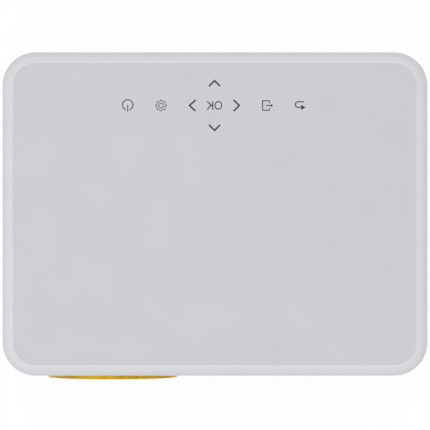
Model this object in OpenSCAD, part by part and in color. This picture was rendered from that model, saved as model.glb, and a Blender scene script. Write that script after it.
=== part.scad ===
// Projector with a built-in disc player: a rounded white case, an LCD light engine behind a
// gilt lens ring, and a slim disc drive whose tray slides out of the right-hand side.
// Millimetres. +Z is up, the lens faces -Y, and the tray slides out along +X.

/* [Case] */
// Width of the case, left side to right side
body_w = 230; // [226:1:250]
// Depth of the case, front face to rear face
body_d = 175; // [172:1:190]
// Height of the case without its feet
body_h = 88; // [86:1:96]
// Radius of the four upright corners
corner_r = 18; // [15:0.5:20]
// Radius of the soft edge round the top
edge_r = 6; // [4.5:0.5:7]
// Radius of the edge round the underside
base_r = 4; // [2:0.5:5]
// Wall thickness of both shells
wall_t = 2.5; // [2.2:0.1:2.8]
// Thickness of the roof
roof_t = 3; // [2.8:0.1:3.6]
// Thickness of the floor
floor_t = 2.5; // [2:0.1:3]
// Height of the lower shell's wall
lower_h = 8; // [7.5:0.25:8.25]
// Height that the feet lift the case
foot_h = 3.5; // [3:0.1:5]
// Radius of a rubber foot
foot_r = 7; // [5:0.5:8]

/* [Top panel] */
// Width of the flat rim between the soft edge and the panel
rim_flat = 0.2; // [0.1:0.05:1]
// Thickness of the touch panel
panel_t = 1.2; // [0.8:0.1:1.4]
// How far the panel lies below the rim
panel_drop = 0.2; // [0.1:0.05:0.4]

/* [Lens] */
// Distance of the lens axis from the left side
lens_in = 58.8; // [58.5:0.1:61]
// Height of the lens axis above the underside
lens_up = 44; // [43:0.5:45]
// Outer radius of the gilt bezel
bezel_r = 35.5; // [33.5:0.5:36]
// How far the bezel stands out of the front
bezel_proud = 2.1; // [1.5:0.1:4]
// Outer radius of the moving lens tube
tube_r = 23; // [22:0.25:23.5]
// Length of the lens tube
tube_l = 29; // [26:0.5:32]
// Travel of the lens tube from far focus to near focus
focus_travel = 9; // [6:0.5:10]

/* [Light engine] */
// Inside width of the light engine
engine_w = 80; // [78:0.5:81]
// Inside height of the light engine
engine_h = 53; // [51:0.5:54]
// Wall thickness of the light engine
engine_t = 2; // [1.6:0.1:2.2]
// Length of the light engine
engine_l = 82; // [81:0.5:84]
// Radius of the condenser lens
condenser_r = 24; // [22:0.5:25]
// Number of heat sink fins
fin_count = 13; // [9:1:17]

/* [Fans] */
// Side of the square exhaust fan
exhaust_size = 70; // [60:1:72]
// Thickness of the exhaust fan
exhaust_t = 15; // [10:0.5:16]
// Side of the square intake fan
intake_size = 60; // [50:1:62]
// Thickness of the intake fan
intake_t = 10; // [8:0.2:10]
// Number of blades on a fan
blade_count = 9; // [5:1:11]

/* [Disc drive] */
// Width of the drive's cage
drive_w = 128; // [127:0.5:130]
// Height of the drive's cage
drive_h = 12.2; // [12:0.1:13]
// Length of the drive's cage
drive_l = 122; // [120:0.5:122.5]
// Height of the cage above the case's underside
drive_up = 14; // [13:0.5:15]
// Thickness of the cage's steel sheet
sheet_t = 0.8; // [0.6:0.1:1]
// Travel of the disc tray
tray_travel = 128; // [110:1:130]
// Radius of the recess that holds a disc
recess_r = 60.6; // [60.3:0.1:61]
// Radius of the hub that centres the disc
hub_r = 7.4; // [7.2:0.05:7.45]
// Thickness of the tray's bezel
tray_bezel_t = 4; // [3.5:0.1:5]
// Travel of the eject button
eject_travel = 0.8; // [0.5:0.1:0.9]
// Direction of the pickup's path, from +X
pickup_angle = 40; // [38:0.5:42]
// Travel of the pickup
pickup_travel = 34; // [30:0.5:34]

/* [Boards and sockets] */
// Thickness of the circuit boards
board_t = 1.6; // [1:0.1:2]
// Height of the bracket's plate above the drive
bracket_gap = 1.3; // [1:0.1:3]
// Length of the posts that carry the boards
post_l = 5; // [4:0.5:8]
// Bore radius of a 3.5 mm audio jack
jack_r = 1.8; // [1.78:0.01:1.9]

/* [Stand] */
// Bore radius of the tripod insert
tripod_r = 2.6; // [2.55:0.05:2.7]
// Travel of the front levelling foot
level_travel = 12; // [8:0.5:12]

/* [Hidden] */
$fn = 64;
dome_fn = 200;           // facets round the large spheres of the lens faces

// Small distances shared by many pieces.
eps = 1;                 // how far a cutter runs past a face
panel_gap = 0.1;         // round the top panel
insert_gap = 0.15;       // round an insert in its window
slide_gap = 0.2;         // beside a sliding rail
run_gap = 0.05;          // round a rod in its bore
head_gap = 0.3;          // round a screw's head
hair = 0.01;             // keeps a rounded end from losing its straight
board_corner_r = 1.5;

// Heights of the case.
base_z = foot_h;
seam_z = base_z + lower_h;
top_z = base_z + body_h;
roof_z = top_z - roof_t;
floor_z = base_z + floor_t;

// Sides of the case, measured from its own middle.
right_x = body_w / 2;
front_y = -body_d / 2;
rear_y = body_d / 2;
inner_r = corner_r - wall_t;
body_shift = bezel_proud / 2;   // keeps the whole object's middle over the origin

// Fastenings of the case.
pillar_r = 4.5;
pillar_in = 17;
pillar_y_in = 13.5;
screw_r = 1.45;
screw_bore_r = 1.5;
screw_head_r = 2.9;
screw_head_t = 2;
screw_l = 16;
cross_l = 3.2;
cross_w = 0.6;
cross_depth = 1;
head_recess = 3;
lip_t = 0.9;
lip_h = 2;
foot_in_x = 23;
foot_in_y = 32;
foot_sink = 0.8;
foot_chamfer = 0.8;
insert_r = 5;
insert_l = 9;
tripod_boss_r = 8;

// Top panel and its board.
panel_inset = edge_r + rim_flat;
panel_r = corner_r - panel_inset;
touch_w = 112;
touch_d = 38;
touch_in_y = 9.5;

// Lens axis and the round pieces on it.
lens_x = -right_x + lens_in;
lens_z = base_z + lens_up;
bezel_lip = 3;           // width of the bezel's rim outside its spigot
bezel_seat = 1;          // depth of the counterbore it sits in
bezel_cup = 2;           // depth of the flare inside its mouth
bezel_round = 0.6;       // radius of its outer edge
bezel_back = 0.8;        // how far the spigot runs past the wall
ring_gap = 0.4;          // between the focus ring and the bezel
mount_t = 1.65;
tube_gap = 0.15;
mount_in_r = tube_r + tube_gap;
mount_out_r = mount_in_r + mount_t;
ring_in_r = mount_out_r + tube_gap;
ring_t = 1.65;
ring_out_r = ring_in_r + ring_t;
bezel_in_r = ring_out_r + ring_gap;
ring_sink = 1.3;         // focus ring behind the bezel's front
ring_y = front_y - bezel_proud + ring_sink;
ring_l = 26;
ring_flange = 2.4;
ring_lip = 3;
tube_y = ring_y + focus_travel + 0.5;
glass_wall = 3;
glass_r = tube_r - glass_wall;
glass_gap = 0.03;        // between an element and the tube
front_glass_t = 9;
front_glass_curve = 58;
front_glass_in = 1.5;
rear_glass_t = 7;
rear_glass_in = 1;
rear_glass_curve = 80;
mount_y = tube_y + 1;
flange_t = 3;
mount_flange_r = 31;
stop_t = 2;
key_angles = [0, 120, 240];
key_w = 3;
key_l = 6;
key_root = 0.5;          // part of a key inside the tube's wall
tube_mouth_rim = 0.6;
key_in = 12;             // keys behind the tube's front
grip_count = 36;
grip_r = 0.5;
grip_l = 1.2;

// Light engine.
engine_y = front_y + 45.5;
engine_out_w = engine_w + 2 * engine_t;
engine_z0 = lens_z - engine_h / 2 - engine_t;
engine_z1 = lens_z + engine_h / 2;
engine_floor = engine_z0 + engine_t;
engine_back = engine_y + engine_l;
engine_left = lens_x - engine_out_w / 2;
engine_right = lens_x + engine_out_w / 2;
plate_gap = 0.2;
fresnel_t = 2;
lcd_t = 3;
fresnel_in = 35;
plate_pitch = 10;
fresnel_front_y = engine_y + fresnel_in;
lcd_y = fresnel_front_y + plate_pitch;
fresnel_rear_y = lcd_y + plate_pitch;
rib_t = 1.5;
rib_w = 2.5;
condenser_t = 10;
condenser_curve = 38;
led_plate = 40;
led_plate_t = 2;
cup_small_r = 8;
led_hole_r = cup_small_r + slide_gap;
cup_t = 1;
cup_l = 8.5;
baffle_t = 2;
baffle_rim = 1.5;
cover_lip_in = 4;
cover_screw_in = 12;
cover_screw_r = 0.6;
cup_y = engine_back - engine_t - cup_l;
condenser_y = cup_y - condenser_t;
baffle_y = condenser_y - baffle_t;
sink_base_t = 5;
sink_w = 76;
sink_h = 62;
fin_t = 1.4;
fin_l = 15;
sink_y = engine_back + led_plate_t;
engine_post_r = 4;
engine_post_in = 8;
case_side_window = 44;

// Windows in the walls.
insert_t = 2.2;          // thickness of the part of an insert that fills its window
flange_w = 2;            // how far an insert's flange reaches round its window
insert_flange_t = 1.2;
insert_sink = wall_t - insert_t;
grille_w = 92;
grille_h = 56;
grille_r = 6;
bezel_to_grille = 20.35;
grille_x = lens_x + bezel_r + bezel_to_grille + grille_w / 2;
grille_slots = 12;
slot_w = 1.8;
grille_margin = 5;
ir_r = 3;
bezel_to_ir = 10.5;
ir_x = lens_x + bezel_r + bezel_to_ir;
rear_in = 23;            // rear window in from each side
rear_w = body_w - 2 * rear_in;
rear_h = 62;
rear_r = 6;
vent_r = 30;
vent_slots = 13;
side_w = 64;
side_h = 56;
side_slots = 12;
filter_t = 2;
intake_in = 52;           // intake behind the light engine's front
intake_y = engine_y + intake_in;
intake_x = -right_x + wall_t + insert_flange_t + filter_t;
exhaust_y = rear_y - wall_t - insert_flange_t - exhaust_t;
louvre_count = 14;
louvre_pitch = 5;
louvre_w = 2.2;
louvre_h = 16;
louvre_z = lens_z + 14;

// Fans.
fan_wall = 1.5;
fan_tip_gap = 1;
fan_hub_share = 0.22;
fan_floor = 2;
fan_strut_w = 3;
fan_screw_r = 2.1;
fan_screw_in = 4.5;
fan_corner_r = 3;
blade_t = 1.2;
blade_pitch = 38;
axle_r = 1.5;
axle_boss_t = 2;
fan_base_gap = 0.6;      // between the blades and the struts
fan_face_gap = 0.8;      // between the blades and the open face
fan_hub_t = 1.2;
fan_boss_less = 0.5;
strut_angles = [45, 135];
blade_trim = 0.4;
blade_root = 0.6;

// Speakers behind the front grille.
speaker_r = 21;
speaker_pitch = 44;
speaker_rim = 2;
speaker_l = 20;
magnet_r = 13;
magnet_l = 8;
cone_r = 18;
cone_neck_r = 7;
cone_depth = 6;
surround_gap = 0.6;
cone_t = 0.8;
basket_t = 1;

// Disc drive, from the right-hand side inwards.
bezel_sink = 0.2;
mouth_gap = 0.5;
cage_gap = 0.3;
drive_z = base_z + drive_up;
tray_x1 = right_x - bezel_sink - tray_bezel_t;
drive_x1 = tray_x1 - cage_gap;
drive_x0 = drive_x1 - drive_l;
pan_top = drive_z + sheet_t;
lid_under = drive_z + drive_h - sheet_t;
drive_post_in_x = 10;
drive_post_in_y = 8;
lid_hole_in_x = 8;
lid_hole_in_y = 20;
lid_hole_r = 2;
cage_half = drive_w / 2;
cage_inner = cage_half - sheet_t;
lid_skirt = 5;
deck_gap = 0.6;
deck_top = lid_under - deck_gap;
deck_t = 4;
deck_z = deck_top - deck_t;
recess_depth = 3;
recess_z = deck_top - recess_depth;
rail_h = 5;
rail_z = pan_top + deck_gap;
rail_t = 2;
tongue = 1.2;
tongue_h = 1.6;
outer_rail_in = cage_inner - rail_t;
mid_rail_t = 1.6;
mid_rail_out = outer_rail_in - slide_gap;
mid_rail_in = mid_rail_out - mid_rail_t;
skirt_out = mid_rail_in - slide_gap;
skirt_t = 3;
rail_hold = 46;          // length of each rail still held when the tray is out
mid_rail_l = tray_travel / 2 + rail_hold;
rail_in = 2;
tray_back = 3.5;
tray_x0 = drive_x0 + tray_back;
hub_back = 64;
hub_x = tray_x1 - hub_back;
tongue_z = rail_z + rail_h / 2;
button_y = -40;
button_w = 8.6;
button_h = 3.2;
button_r = 0.8;
tray_bezel_r = 1.5;
button_gap = 0.2;
button_proud = 0.1;
led_y = -28;
led_r = 0.8;
pin_hole_y = -52;
pin_hole_r = 0.6;

// Spindle and pickup, measured from the spindle's axis.
seat_z = recess_z + 0.6;       // plane that the disc lies on
turntable_r = 14.5;
turntable_t = 1.2;
hub_hole_r = 16;
hub_h = 1.8;
hub_bevel = 0.5;
can_r = 10.5;
can_t = 0.8;
spindle_plate_z = rail_z + 0.3;
spindle_plate_t = 0.8;
spindle_plate_r = 12;
arm_w = 5;
arm_r = 18.5;
arm_angles = [110, 180, 250];
arm_post_r = 2;
shaft_r = 1;
sleeve_r = 3;
sleeve_l = 3.4;
can_gap = 0.4;                 // between the motor's can and its plate
hub_overlap = 0.1;             // joins the hub's stacked discs
pickup_u = 24;                 // pickup's radius at the disc's inner edge
sled_l = 16;
sled_v = 15;
sled_h = 4.2;
eye_w = 18;
eye_l = 13;
eye_z = recess_z + 0.2;
eye_room = 0.5;                // over the pickup's housing, under the disc
nut_l = 6;
nut_w = 3.8;
nut_h = 3.2;
rod_r = 1.5;
rod_v = 12;
rod_z = deck_z - 2.6;
rod_u0 = 13;
rod_drop = 2.4;                // how far the rods' blocks reach below their axis
rod_u1 = pickup_u + pickup_travel + sled_l / 2 + 2;
block_t = 3;
block_w = 5;
block_in = 1.5;                // part of a block that lies beyond the rod's end
slot_v = 11;
slot_u0 = 12;
slot_u1 = pickup_u + pickup_travel + eye_l / 2 + 1.5;
objective_r = 2.4;
objective_h = 0.4;
screw_v = -18;
lead_r = 1.2;
lead_u0 = 13.4;
lead_u1 = pickup_u + pickup_travel + nut_l;
lead_end_gap = 0.3;
lead_block_t = 2;
lead_block_w = 4;
stepper_r = 2.6;
stepper_plate = [1, 6, 5];
stepper_u0 = 2;
stepper_u1 = 12;

// Bracket and boards over the drive.
bracket_t = 1;
bracket_z = drive_z + drive_h + bracket_gap;
bracket_x0 = drive_x0 + 3.5;
bracket_x1 = drive_x1 - 2.5;
bracket_rim = 4;         // bracket wider than the drive on each side
bracket_half = cage_half + bracket_rim;
leg_w = 20;
leg_in = 22;
leg_foot = 8;
post_r = 3;
post_bore_r = 1.25;
board_screw_r = 1.2;
board_z = bracket_z + bracket_t + post_l;
main_w = 90;
main_d = 78;
board_in = 8;            // boards in from the bracket's inner edge
main_x = bracket_x0 + board_in + main_w / 2;
main_y1 = rear_y - 5;
main_in = 5;
main_post_y = main_y1 - 3 * main_in;       // rear posts, clear of the sockets
bracket_back = max(bracket_half, main_post_y);
chip_side = 26;
chip_fins = 7;
chip_base_t = 3;
chip_h = 10;
chip_y = 20;                   // heat sink behind the board's front edge
board_head_r = 2.4;
board_head_t = 1.4;
board_screw_out = 0.5;
power_w = 80;
power_d = 54;
power_x = bracket_x0 + board_in + power_w / 2;
power_y = -cage_half + 1 + power_d / 2;
core = [28, 24, 14];           // transformer's core
core_left = 6;                 // transformer left of the board's middle
bobbin = [20, 30];
bobbin_t = 2.5;
capacitors = [[24, 12, 8], [24, -10, 6], [-28, 10, 5], [-28, -8, 5]];   // x, y, radius
capacitor_rise = 2.4;          // height as a multiple of the radius
board_top = board_z + board_t;
port_sink = 0.5;
port_y = rear_y - port_sink;   // outer face of the sockets
panel_back_y = rear_y - wall_t - insert_flange_t;
video_in = 10;
video_x = main_x - main_w / 2 + video_in;
video_w = 15;
video_h = 6;
video_l = 12;
video_tongue = [12, 1.6, 2.2];
video_to_data = 22;
data_x = video_x + video_to_data;
data_pitch = 19;
data_w = 14.5;
data_h = 7;
data_l = 15;
data_tongue = [11, 1.9, 4];
tongue_back = 1.5;             // tongues behind their sockets' mouths
metal_t = 0.5;
data_to_jack = 18;
jack_x = data_x + data_pitch + data_to_jack;
jack_pitch = 14;
jack_l = 13;
jack_w = 8;
jack_h = 7;
jack_nose_r = 3.2;
jack_nose_l = 4;
port_gap = 0.3;
inlet_x = jack_x;
inlet_rise = 22;
inlet_z = board_top + inlet_rise;
inlet_w = 22;
inlet_h = 14;
inlet_l = 18;
inlet_flange = 1.5;
inlet_rim = 2;
inlet_cavity_w = 16;
inlet_cavity_h = 8.4;
inlet_cavity_l = 12;
inlet_pin_r = 1.2;
inlet_pin_pitch = 8.6;

// Levelling foot.
level_y = front_y + 15.5;
level_wheel_r = 8;
level_wheel_h = 5;
level_pad_r = 7;
level_pad_h = 2.1;
level_rest = 0.3;              // pad's height over the table when wound in
level_stem_r = 4;
level_grip = 8;                // thread left in the boss when wound out
level_top = floor_z + level_travel + level_grip;
level_boss_t = 2.5;
level_recess_t = 2.4;
level_notch_r = 0.6;
level_notches = 24;
level_bore_gap = 0.05;
level_recess_gap = 0.6;

// ---- Shapes used by many pieces ----

module rounded_rect(w, d, r) {
  square([w - 2 * r, d], center = true);
  square([w, d - 2 * r], center = true);
  for (sx = [-1, 1], sy = [-1, 1])
    translate([sx * (w / 2 - r), sy * (d / 2 - r)]) circle(r);
}

module slab(w, d, h, r) {
  linear_extrude(h) rounded_rect(w, d, r);
}

// A rounded plate that stands across Y, its front face at y = 0 and its body behind it.
module upright(w, h, t, r) {
  rotate([90, 0, 0]) translate([0, 0, -t]) slab(w, h, t, r);
}

module tube(r_out, r_in, h) {
  difference() {
    cylinder(r = r_out, h = h);
    translate([0, 0, -eps]) cylinder(r = r_in, h = h + 2 * eps);
  }
}

// Turns +Z to point towards the front, -Y, with z = 0 at y = 0.
module facing_front() {
  rotate([90, 0, 0]) children();
}

// Turns +Z to point towards the rear, +Y.
module facing_rear() {
  rotate([-90, 0, 0]) children();
}

// Half of a wall's outline: upright at radius r, with soft lower and upper edges.
module edge_outline(r, z0, z1, eb, et) {
  translate([0, z0 + eb]) square([r, z1 - z0 - eb - et]);
  if (et > 0) {
    translate([0, z1 - et]) square([r - et, et]);
    translate([r - et, z1 - et]) circle(et);
  }
  if (eb > 0) {
    translate([0, z0]) square([r - eb, eb]);
    translate([r - eb, z0 + eb]) circle(eb);
  }
}

module full_outline(half, z0, z1, eb, et) {
  edge_outline(half, z0, z1, eb, et);
  mirror([1, 0]) edge_outline(half, z0, z1, eb, et);
}

// A block with round upright corners and soft lower and upper edges.
module soft_box(w, d, z0, z1, r, eb, et) {
  translate([-(w / 2 - r), 0, 0]) rotate([90, 0, 90])
    linear_extrude(w - 2 * r) full_outline(d / 2, z0, z1, eb, et);
  translate([0, d / 2 - r, 0]) rotate([90, 0, 0])
    linear_extrude(d - 2 * r) full_outline(w / 2, z0, z1, eb, et);
  for (sx = [-1, 1], sy = [-1, 1])
    translate([sx * (w / 2 - r), sy * (d / 2 - r), 0])
      rotate_extrude() edge_outline(r, z0, z1, eb, et);
}

module at_pillars() {
  for (sx = [-1, 1], sy = [-1, 1])
    translate([sx * (right_x - pillar_in), sy * (rear_y - pillar_y_in), 0]) children();
}

module at_feet() {
  for (sx = [-1, 1], sy = [-1, 1])
    translate([sx * (right_x - foot_in_x), sy * (rear_y - foot_in_y), 0]) children();
}

module at_engine_posts() {
  for (sx = [-1, 1], y = [engine_y + engine_post_in, engine_back - engine_post_in])
    translate([lens_x + sx * (engine_w / 2 - engine_post_in), y, 0]) children();
}

module at_drive_posts() {
  for (x = [drive_x0 + drive_post_in_x, drive_x1 - drive_post_in_x], sy = [-1, 1])
    translate([x, sy * (cage_half - drive_post_in_y), 0]) children();
}

module at_main_posts() {
  for (sx = [-1, 1], y = [main_y1 - main_d + main_in, main_post_y])
    translate([main_x + sx * (main_w / 2 - main_in), y, 0]) children();
}

module at_power_posts() {
  for (sx = [-1, 1], sy = [-1, 1])
    translate([power_x + sx * (power_w / 2 - main_in), power_y + sy * (power_d / 2 - main_in), 0])
      children();
}

module at_speakers() {
  for (s = [-1, 1])
    translate([grille_x + s * speaker_pitch / 2, front_y + wall_t + insert_flange_t, lens_z])
      children();
}

// ---- Case ----

module lower_shell() {
  color("white") difference() {
    union() {
      difference() {
        soft_box(body_w, body_d, base_z, seam_z, corner_r, base_r, 0);
        translate([0, 0, floor_z])
          slab(body_w - 2 * wall_t, body_d - 2 * wall_t, lower_h, inner_r);
      }
      shell_lip();
      at_pillars() translate([0, 0, base_z + eps]) cylinder(r = pillar_r, h = lower_h - eps);
      at_engine_posts()
        translate([0, 0, base_z + eps]) cylinder(r = engine_post_r, h = engine_z0 - base_z - eps);
      at_drive_posts()
        translate([0, 0, base_z + eps]) cylinder(r = engine_post_r, h = drive_up - eps);
      translate([0, 0, base_z + eps]) cylinder(r = tripod_boss_r, h = insert_l);
      translate([0, level_y, base_z + eps]) {
        cylinder(r = level_wheel_r + level_recess_gap + level_recess_t, h = level_wheel_h + 1);
        cylinder(r = level_stem_r + level_boss_t, h = level_top - base_z - eps);
      }
    }
    at_pillars() {
      translate([0, 0, base_z - eps]) cylinder(r = screw_head_r + head_gap, h = head_recess + eps);
      translate([0, 0, base_z]) cylinder(r = screw_bore_r, h = lower_h + eps);
    }
    at_feet() translate([0, 0, base_z - eps]) cylinder(r = foot_r, h = foot_sink + eps);
    translate([0, 0, base_z - eps]) cylinder(r = insert_r, h = insert_l + eps);
    translate([0, level_y, base_z - eps]) {
      cylinder(r = level_wheel_r + level_recess_gap, h = level_wheel_h + eps);
      cylinder(r = level_stem_r + level_bore_gap, h = level_top);
    }
  }
}

// The lip inside the seam, which keeps the two shells in line.
module shell_lip() {
  lip_out = wall_t + slide_gap;
  lip_in = lip_out + lip_t;
  difference() {
    union() {
      translate([0, 0, seam_z - lip_h])
        slab(body_w - 2 * wall_t + eps, body_d - 2 * wall_t + eps, lip_h, inner_r + eps / 2);
      translate([0, 0, seam_z - eps])
        slab(body_w - 2 * lip_out, body_d - 2 * lip_out, lip_h + eps, corner_r - lip_out);
    }
    translate([0, 0, seam_z - lip_h - eps])
      slab(body_w - 2 * lip_in, body_d - 2 * lip_in, 2 * lip_h + 2 * eps, corner_r - lip_in);
  }
}

module upper_shell() {
  color("white") difference() {
    union() {
      difference() {
        soft_box(body_w, body_d, seam_z, top_z, corner_r, 0, edge_r);
        soft_box(body_w - 2 * wall_t, body_d - 2 * wall_t, seam_z - eps, roof_z,
                 inner_r, 0, edge_r - wall_t);
      }
      at_pillars() translate([0, 0, seam_z]) cylinder(r = pillar_r, h = roof_z - seam_z + eps);
    }
    at_pillars() translate([0, 0, seam_z - eps]) cylinder(r = screw_bore_r, h = screw_l);
    translate([0, 0, top_z - panel_t - panel_drop])
      slab(body_w - 2 * panel_inset, body_d - 2 * panel_inset, panel_t + panel_drop + eps, panel_r);
    translate([lens_x, front_y, lens_z]) facing_front() {
      translate([0, 0, -bezel_seat]) cylinder(r = bezel_r + panel_gap, h = bezel_seat + eps);
      translate([0, 0, -wall_t - eps])
        cylinder(r = bezel_r - bezel_lip + panel_gap, h = wall_t + 2 * eps);
    }
    translate([grille_x, front_y - eps, lens_z])
      upright(grille_w, grille_h, wall_t + 2 * eps, grille_r);
    translate([ir_x, front_y, lens_z]) facing_rear()
      translate([0, 0, -eps]) cylinder(r = ir_r, h = wall_t + 2 * eps);
    translate([0, rear_y - wall_t - eps, lens_z])
      upright(rear_w, rear_h, wall_t + 2 * eps, rear_r);
    translate([-right_x - eps, intake_y, lens_z]) rotate([0, 0, 90])
      translate([0, -wall_t - 2 * eps, 0]) upright(side_w, side_h, wall_t + 2 * eps, grille_r);
    translate([right_x - wall_t - eps, -cage_half - mouth_gap, drive_z - mouth_gap])
      cube([wall_t + 2 * eps, drive_w + 2 * mouth_gap, drive_h + 2 * mouth_gap]);
    for (i = [0 : louvre_count - 1])
      translate([right_x - wall_t - eps, (i - (louvre_count - 1) / 2) * louvre_pitch, louvre_z])
        rotate([90, 0, 90]) slab(louvre_w, louvre_h, wall_t + 2 * eps, louvre_w / 2 - hair);
  }
}

module top_panel() {
  color("gainsboro") translate([0, 0, top_z - panel_t - panel_drop])
    slab(body_w - 2 * panel_inset - 2 * panel_gap, body_d - 2 * panel_inset - 2 * panel_gap,
         panel_t, panel_r - panel_gap);
}

module touch_board() {
  color("seagreen") translate([0, rear_y - touch_in_y - touch_d / 2, roof_z - board_t])
    slab(touch_w, touch_d, board_t, board_corner_r);
}

module lens_bezel() {
  color("goldenrod") translate([lens_x, front_y, lens_z]) facing_front() difference() {
    union() {
      translate([0, 0, -bezel_seat]) rotate_extrude() bezel_outline();
      translate([0, 0, -wall_t - bezel_back])
        cylinder(r = bezel_r - bezel_lip, h = wall_t + bezel_back);
    }
    translate([0, 0, -wall_t - bezel_back - eps])
      cylinder(r = bezel_in_r, h = wall_t + bezel_back + bezel_proud + 2 * eps);
    // The mouth flares outwards at 45 degrees.
    translate([0, 0, bezel_proud - bezel_cup])
      cylinder(r1 = bezel_in_r, r2 = bezel_in_r + bezel_cup + eps, h = bezel_cup + eps);
  }
}

module bezel_outline() {
  h = bezel_seat + bezel_proud;
  square([bezel_r, h - bezel_round]);
  square([bezel_r - bezel_round, h]);
  translate([bezel_r - bezel_round, h - bezel_round]) circle(bezel_round);
}

// A slotted insert: a face that fills the window and a flange behind it.
module slotted_insert(w, h, slots, slot_l) {
  difference() {
    union() {
      upright(w - 2 * insert_gap, h - 2 * insert_gap, insert_t + eps / 2, grille_r - insert_gap);
      translate([0, insert_t, 0])
        upright(w + 2 * flange_w, h + 2 * flange_w, insert_flange_t, grille_r + flange_w);
    }
    pitch = (h - 2 * grille_margin) / (slots - 1);
    for (i = [0 : slots - 1])
      translate([0, -eps, (i - (slots - 1) / 2) * pitch])
        upright(slot_l, slot_w, insert_t + insert_flange_t + 2 * eps, slot_w / 2 - hair);
  }
}

module front_grille() {
  color("gainsboro") translate([grille_x, front_y + insert_sink, lens_z])
    slotted_insert(grille_w, grille_h, grille_slots, grille_w - 2 * grille_margin);
}

module side_grille() {
  color("gainsboro") translate([-right_x + insert_sink, intake_y, lens_z]) rotate([0, 0, -90])
    slotted_insert(side_w, side_h, side_slots, side_w - 2 * grille_margin);
}

module dust_filter() {
  color("dimgray") translate([-right_x + wall_t + insert_flange_t, intake_y, lens_z])
    rotate([0, 0, -90]) upright(side_w - 2, side_h - 2, filter_t, 2);
}

module ir_window() {
  color("black") translate([ir_x, front_y, lens_z]) facing_rear() {
    cylinder(r = ir_r - panel_gap, h = wall_t);
    translate([0, 0, wall_t]) cylinder(r = ir_r + flange_w, h = insert_flange_t);
  }
}

module rear_panel() {
  color("darkgray") difference() {
    translate([0, rear_y - insert_sink, lens_z]) rotate([0, 0, 180]) {
      upright(rear_w - 2 * insert_gap, rear_h - 2 * insert_gap, insert_t + eps / 2,
              rear_r - insert_gap);
      translate([0, insert_t, 0])
        upright(rear_w + 2 * flange_w, rear_h + 2 * flange_w, insert_flange_t, rear_r + flange_w);
    }
    rear_slots();
    translate([0, rear_y, 0]) rear_ports();
  }
}

// Exhaust slots, each as long as the round vent is wide at its height.
module rear_slots() {
  pitch = 2 * (vent_r - slot_w) / (vent_slots - 1);
  for (i = [0 : vent_slots - 1]) {
    z = (i - (vent_slots - 1) / 2) * pitch;
    slot_l = 2 * sqrt(vent_r * vent_r - z * z) + slot_w;
    translate([lens_x, rear_y - 3 * wall_t, lens_z + z])
      upright(slot_l, slot_w, 4 * wall_t, slot_w / 2 - hair);
  }
}

module rear_ports() {
  depth = 3 * wall_t;
  translate([video_x - video_w / 2 - port_gap, -depth, board_top - port_gap])
    cube([video_w + 2 * port_gap, 2 * depth, video_h + 2 * port_gap]);
  for (i = [0, 1])
    translate([data_x + i * data_pitch - data_w / 2 - port_gap, -depth, board_top - port_gap])
      cube([data_w + 2 * port_gap, 2 * depth, data_h + 2 * port_gap]);
  for (i = [0, 1])
    translate([jack_x + i * jack_pitch, -depth, board_top + jack_h / 2]) facing_rear()
      cylinder(r = jack_nose_r + port_gap, h = 2 * depth);
  translate([inlet_x - inlet_w / 2 - port_gap, -depth, inlet_z - inlet_h / 2 - port_gap])
    cube([inlet_w + 2 * port_gap, 2 * depth, inlet_h + 2 * port_gap]);
}

module rubber_feet() {
  color("dimgray") at_feet() {
    cylinder(r1 = foot_r - foot_chamfer, r2 = foot_r, h = foot_chamfer);
    translate([0, 0, foot_chamfer]) cylinder(r = foot_r, h = foot_h + foot_sink - foot_chamfer);
  }
}

module tripod_insert() {
  color("gold") translate([0, 0, base_z]) tube(insert_r, tripod_r, insert_l);
}

module case_screws() {
  color("silver") at_pillars() translate([0, 0, base_z + head_recess]) {
    difference() {
      translate([0, 0, -screw_head_t]) cylinder(r = screw_head_r, h = screw_head_t);
      for (a = [0, 90]) rotate([0, 0, a])
        translate([-cross_l / 2, -cross_w / 2, -screw_head_t - eps])
          cube([cross_l, cross_w, eps + cross_depth]);
    }
    cylinder(r = screw_r, h = screw_l);
  }
}

// ---- Lens ----

module lens_mount() {
  length = engine_y - mount_y;
  color("dimgray") translate([lens_x, mount_y, lens_z]) facing_rear() difference() {
    union() {
      cylinder(r = mount_out_r, h = length);
      translate([0, 0, length - flange_t]) cylinder(r = mount_flange_r, h = flange_t);
      translate([0, 0, ring_y + ring_l - mount_y + slide_gap])
        cylinder(r = ring_out_r + 1, h = stop_t);
    }
    translate([0, 0, -eps]) cylinder(r = mount_in_r, h = length + 2 * eps);
    // Three straight slots guide the tube's keys.
    for (a = key_angles) rotate([0, 0, a])
      translate([mount_in_r - eps, -key_w / 2 - slide_gap, -eps])
        cube([mount_t + 2 * eps, key_w + 2 * slide_gap, key_in + key_l + focus_travel]);
  }
}

module lens_tube() {
  color("black") translate([lens_x, tube_y, lens_z]) facing_rear() {
    difference() {
      cylinder(r = tube_r, h = tube_l);
      translate([0, 0, -eps]) cylinder(r = glass_r, h = tube_l + 2 * eps);
      // The mouth flares towards the front.
      translate([0, 0, -eps / 2]) cylinder(r1 = tube_r - tube_mouth_rim, r2 = glass_r, h = glass_wall);
    }
    for (a = key_angles) rotate([0, 0, a])
      translate([tube_r - key_root, -key_w / 2, key_in]) cube([mount_t, key_w, key_l]);
  }
}

// Two elements, each a disc with domed faces that fills the tube's bore.
module lens_glass() {
  color("lightcyan") translate([lens_x, tube_y, lens_z]) facing_rear() {
    translate([0, 0, glass_wall + front_glass_in]) lens_element(front_glass_t, front_glass_curve);
    translate([0, 0, tube_l - rear_glass_in - rear_glass_t])
      lens_element(rear_glass_t, rear_glass_curve);
  }
}

module lens_element(t, curve_r) {
  intersection() {
    cylinder(r = glass_r - glass_gap, h = t);
    translate([0, 0, curve_r]) sphere(curve_r, $fn = dome_fn);
    translate([0, 0, t - curve_r]) sphere(curve_r, $fn = dome_fn);
  }
}

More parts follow.
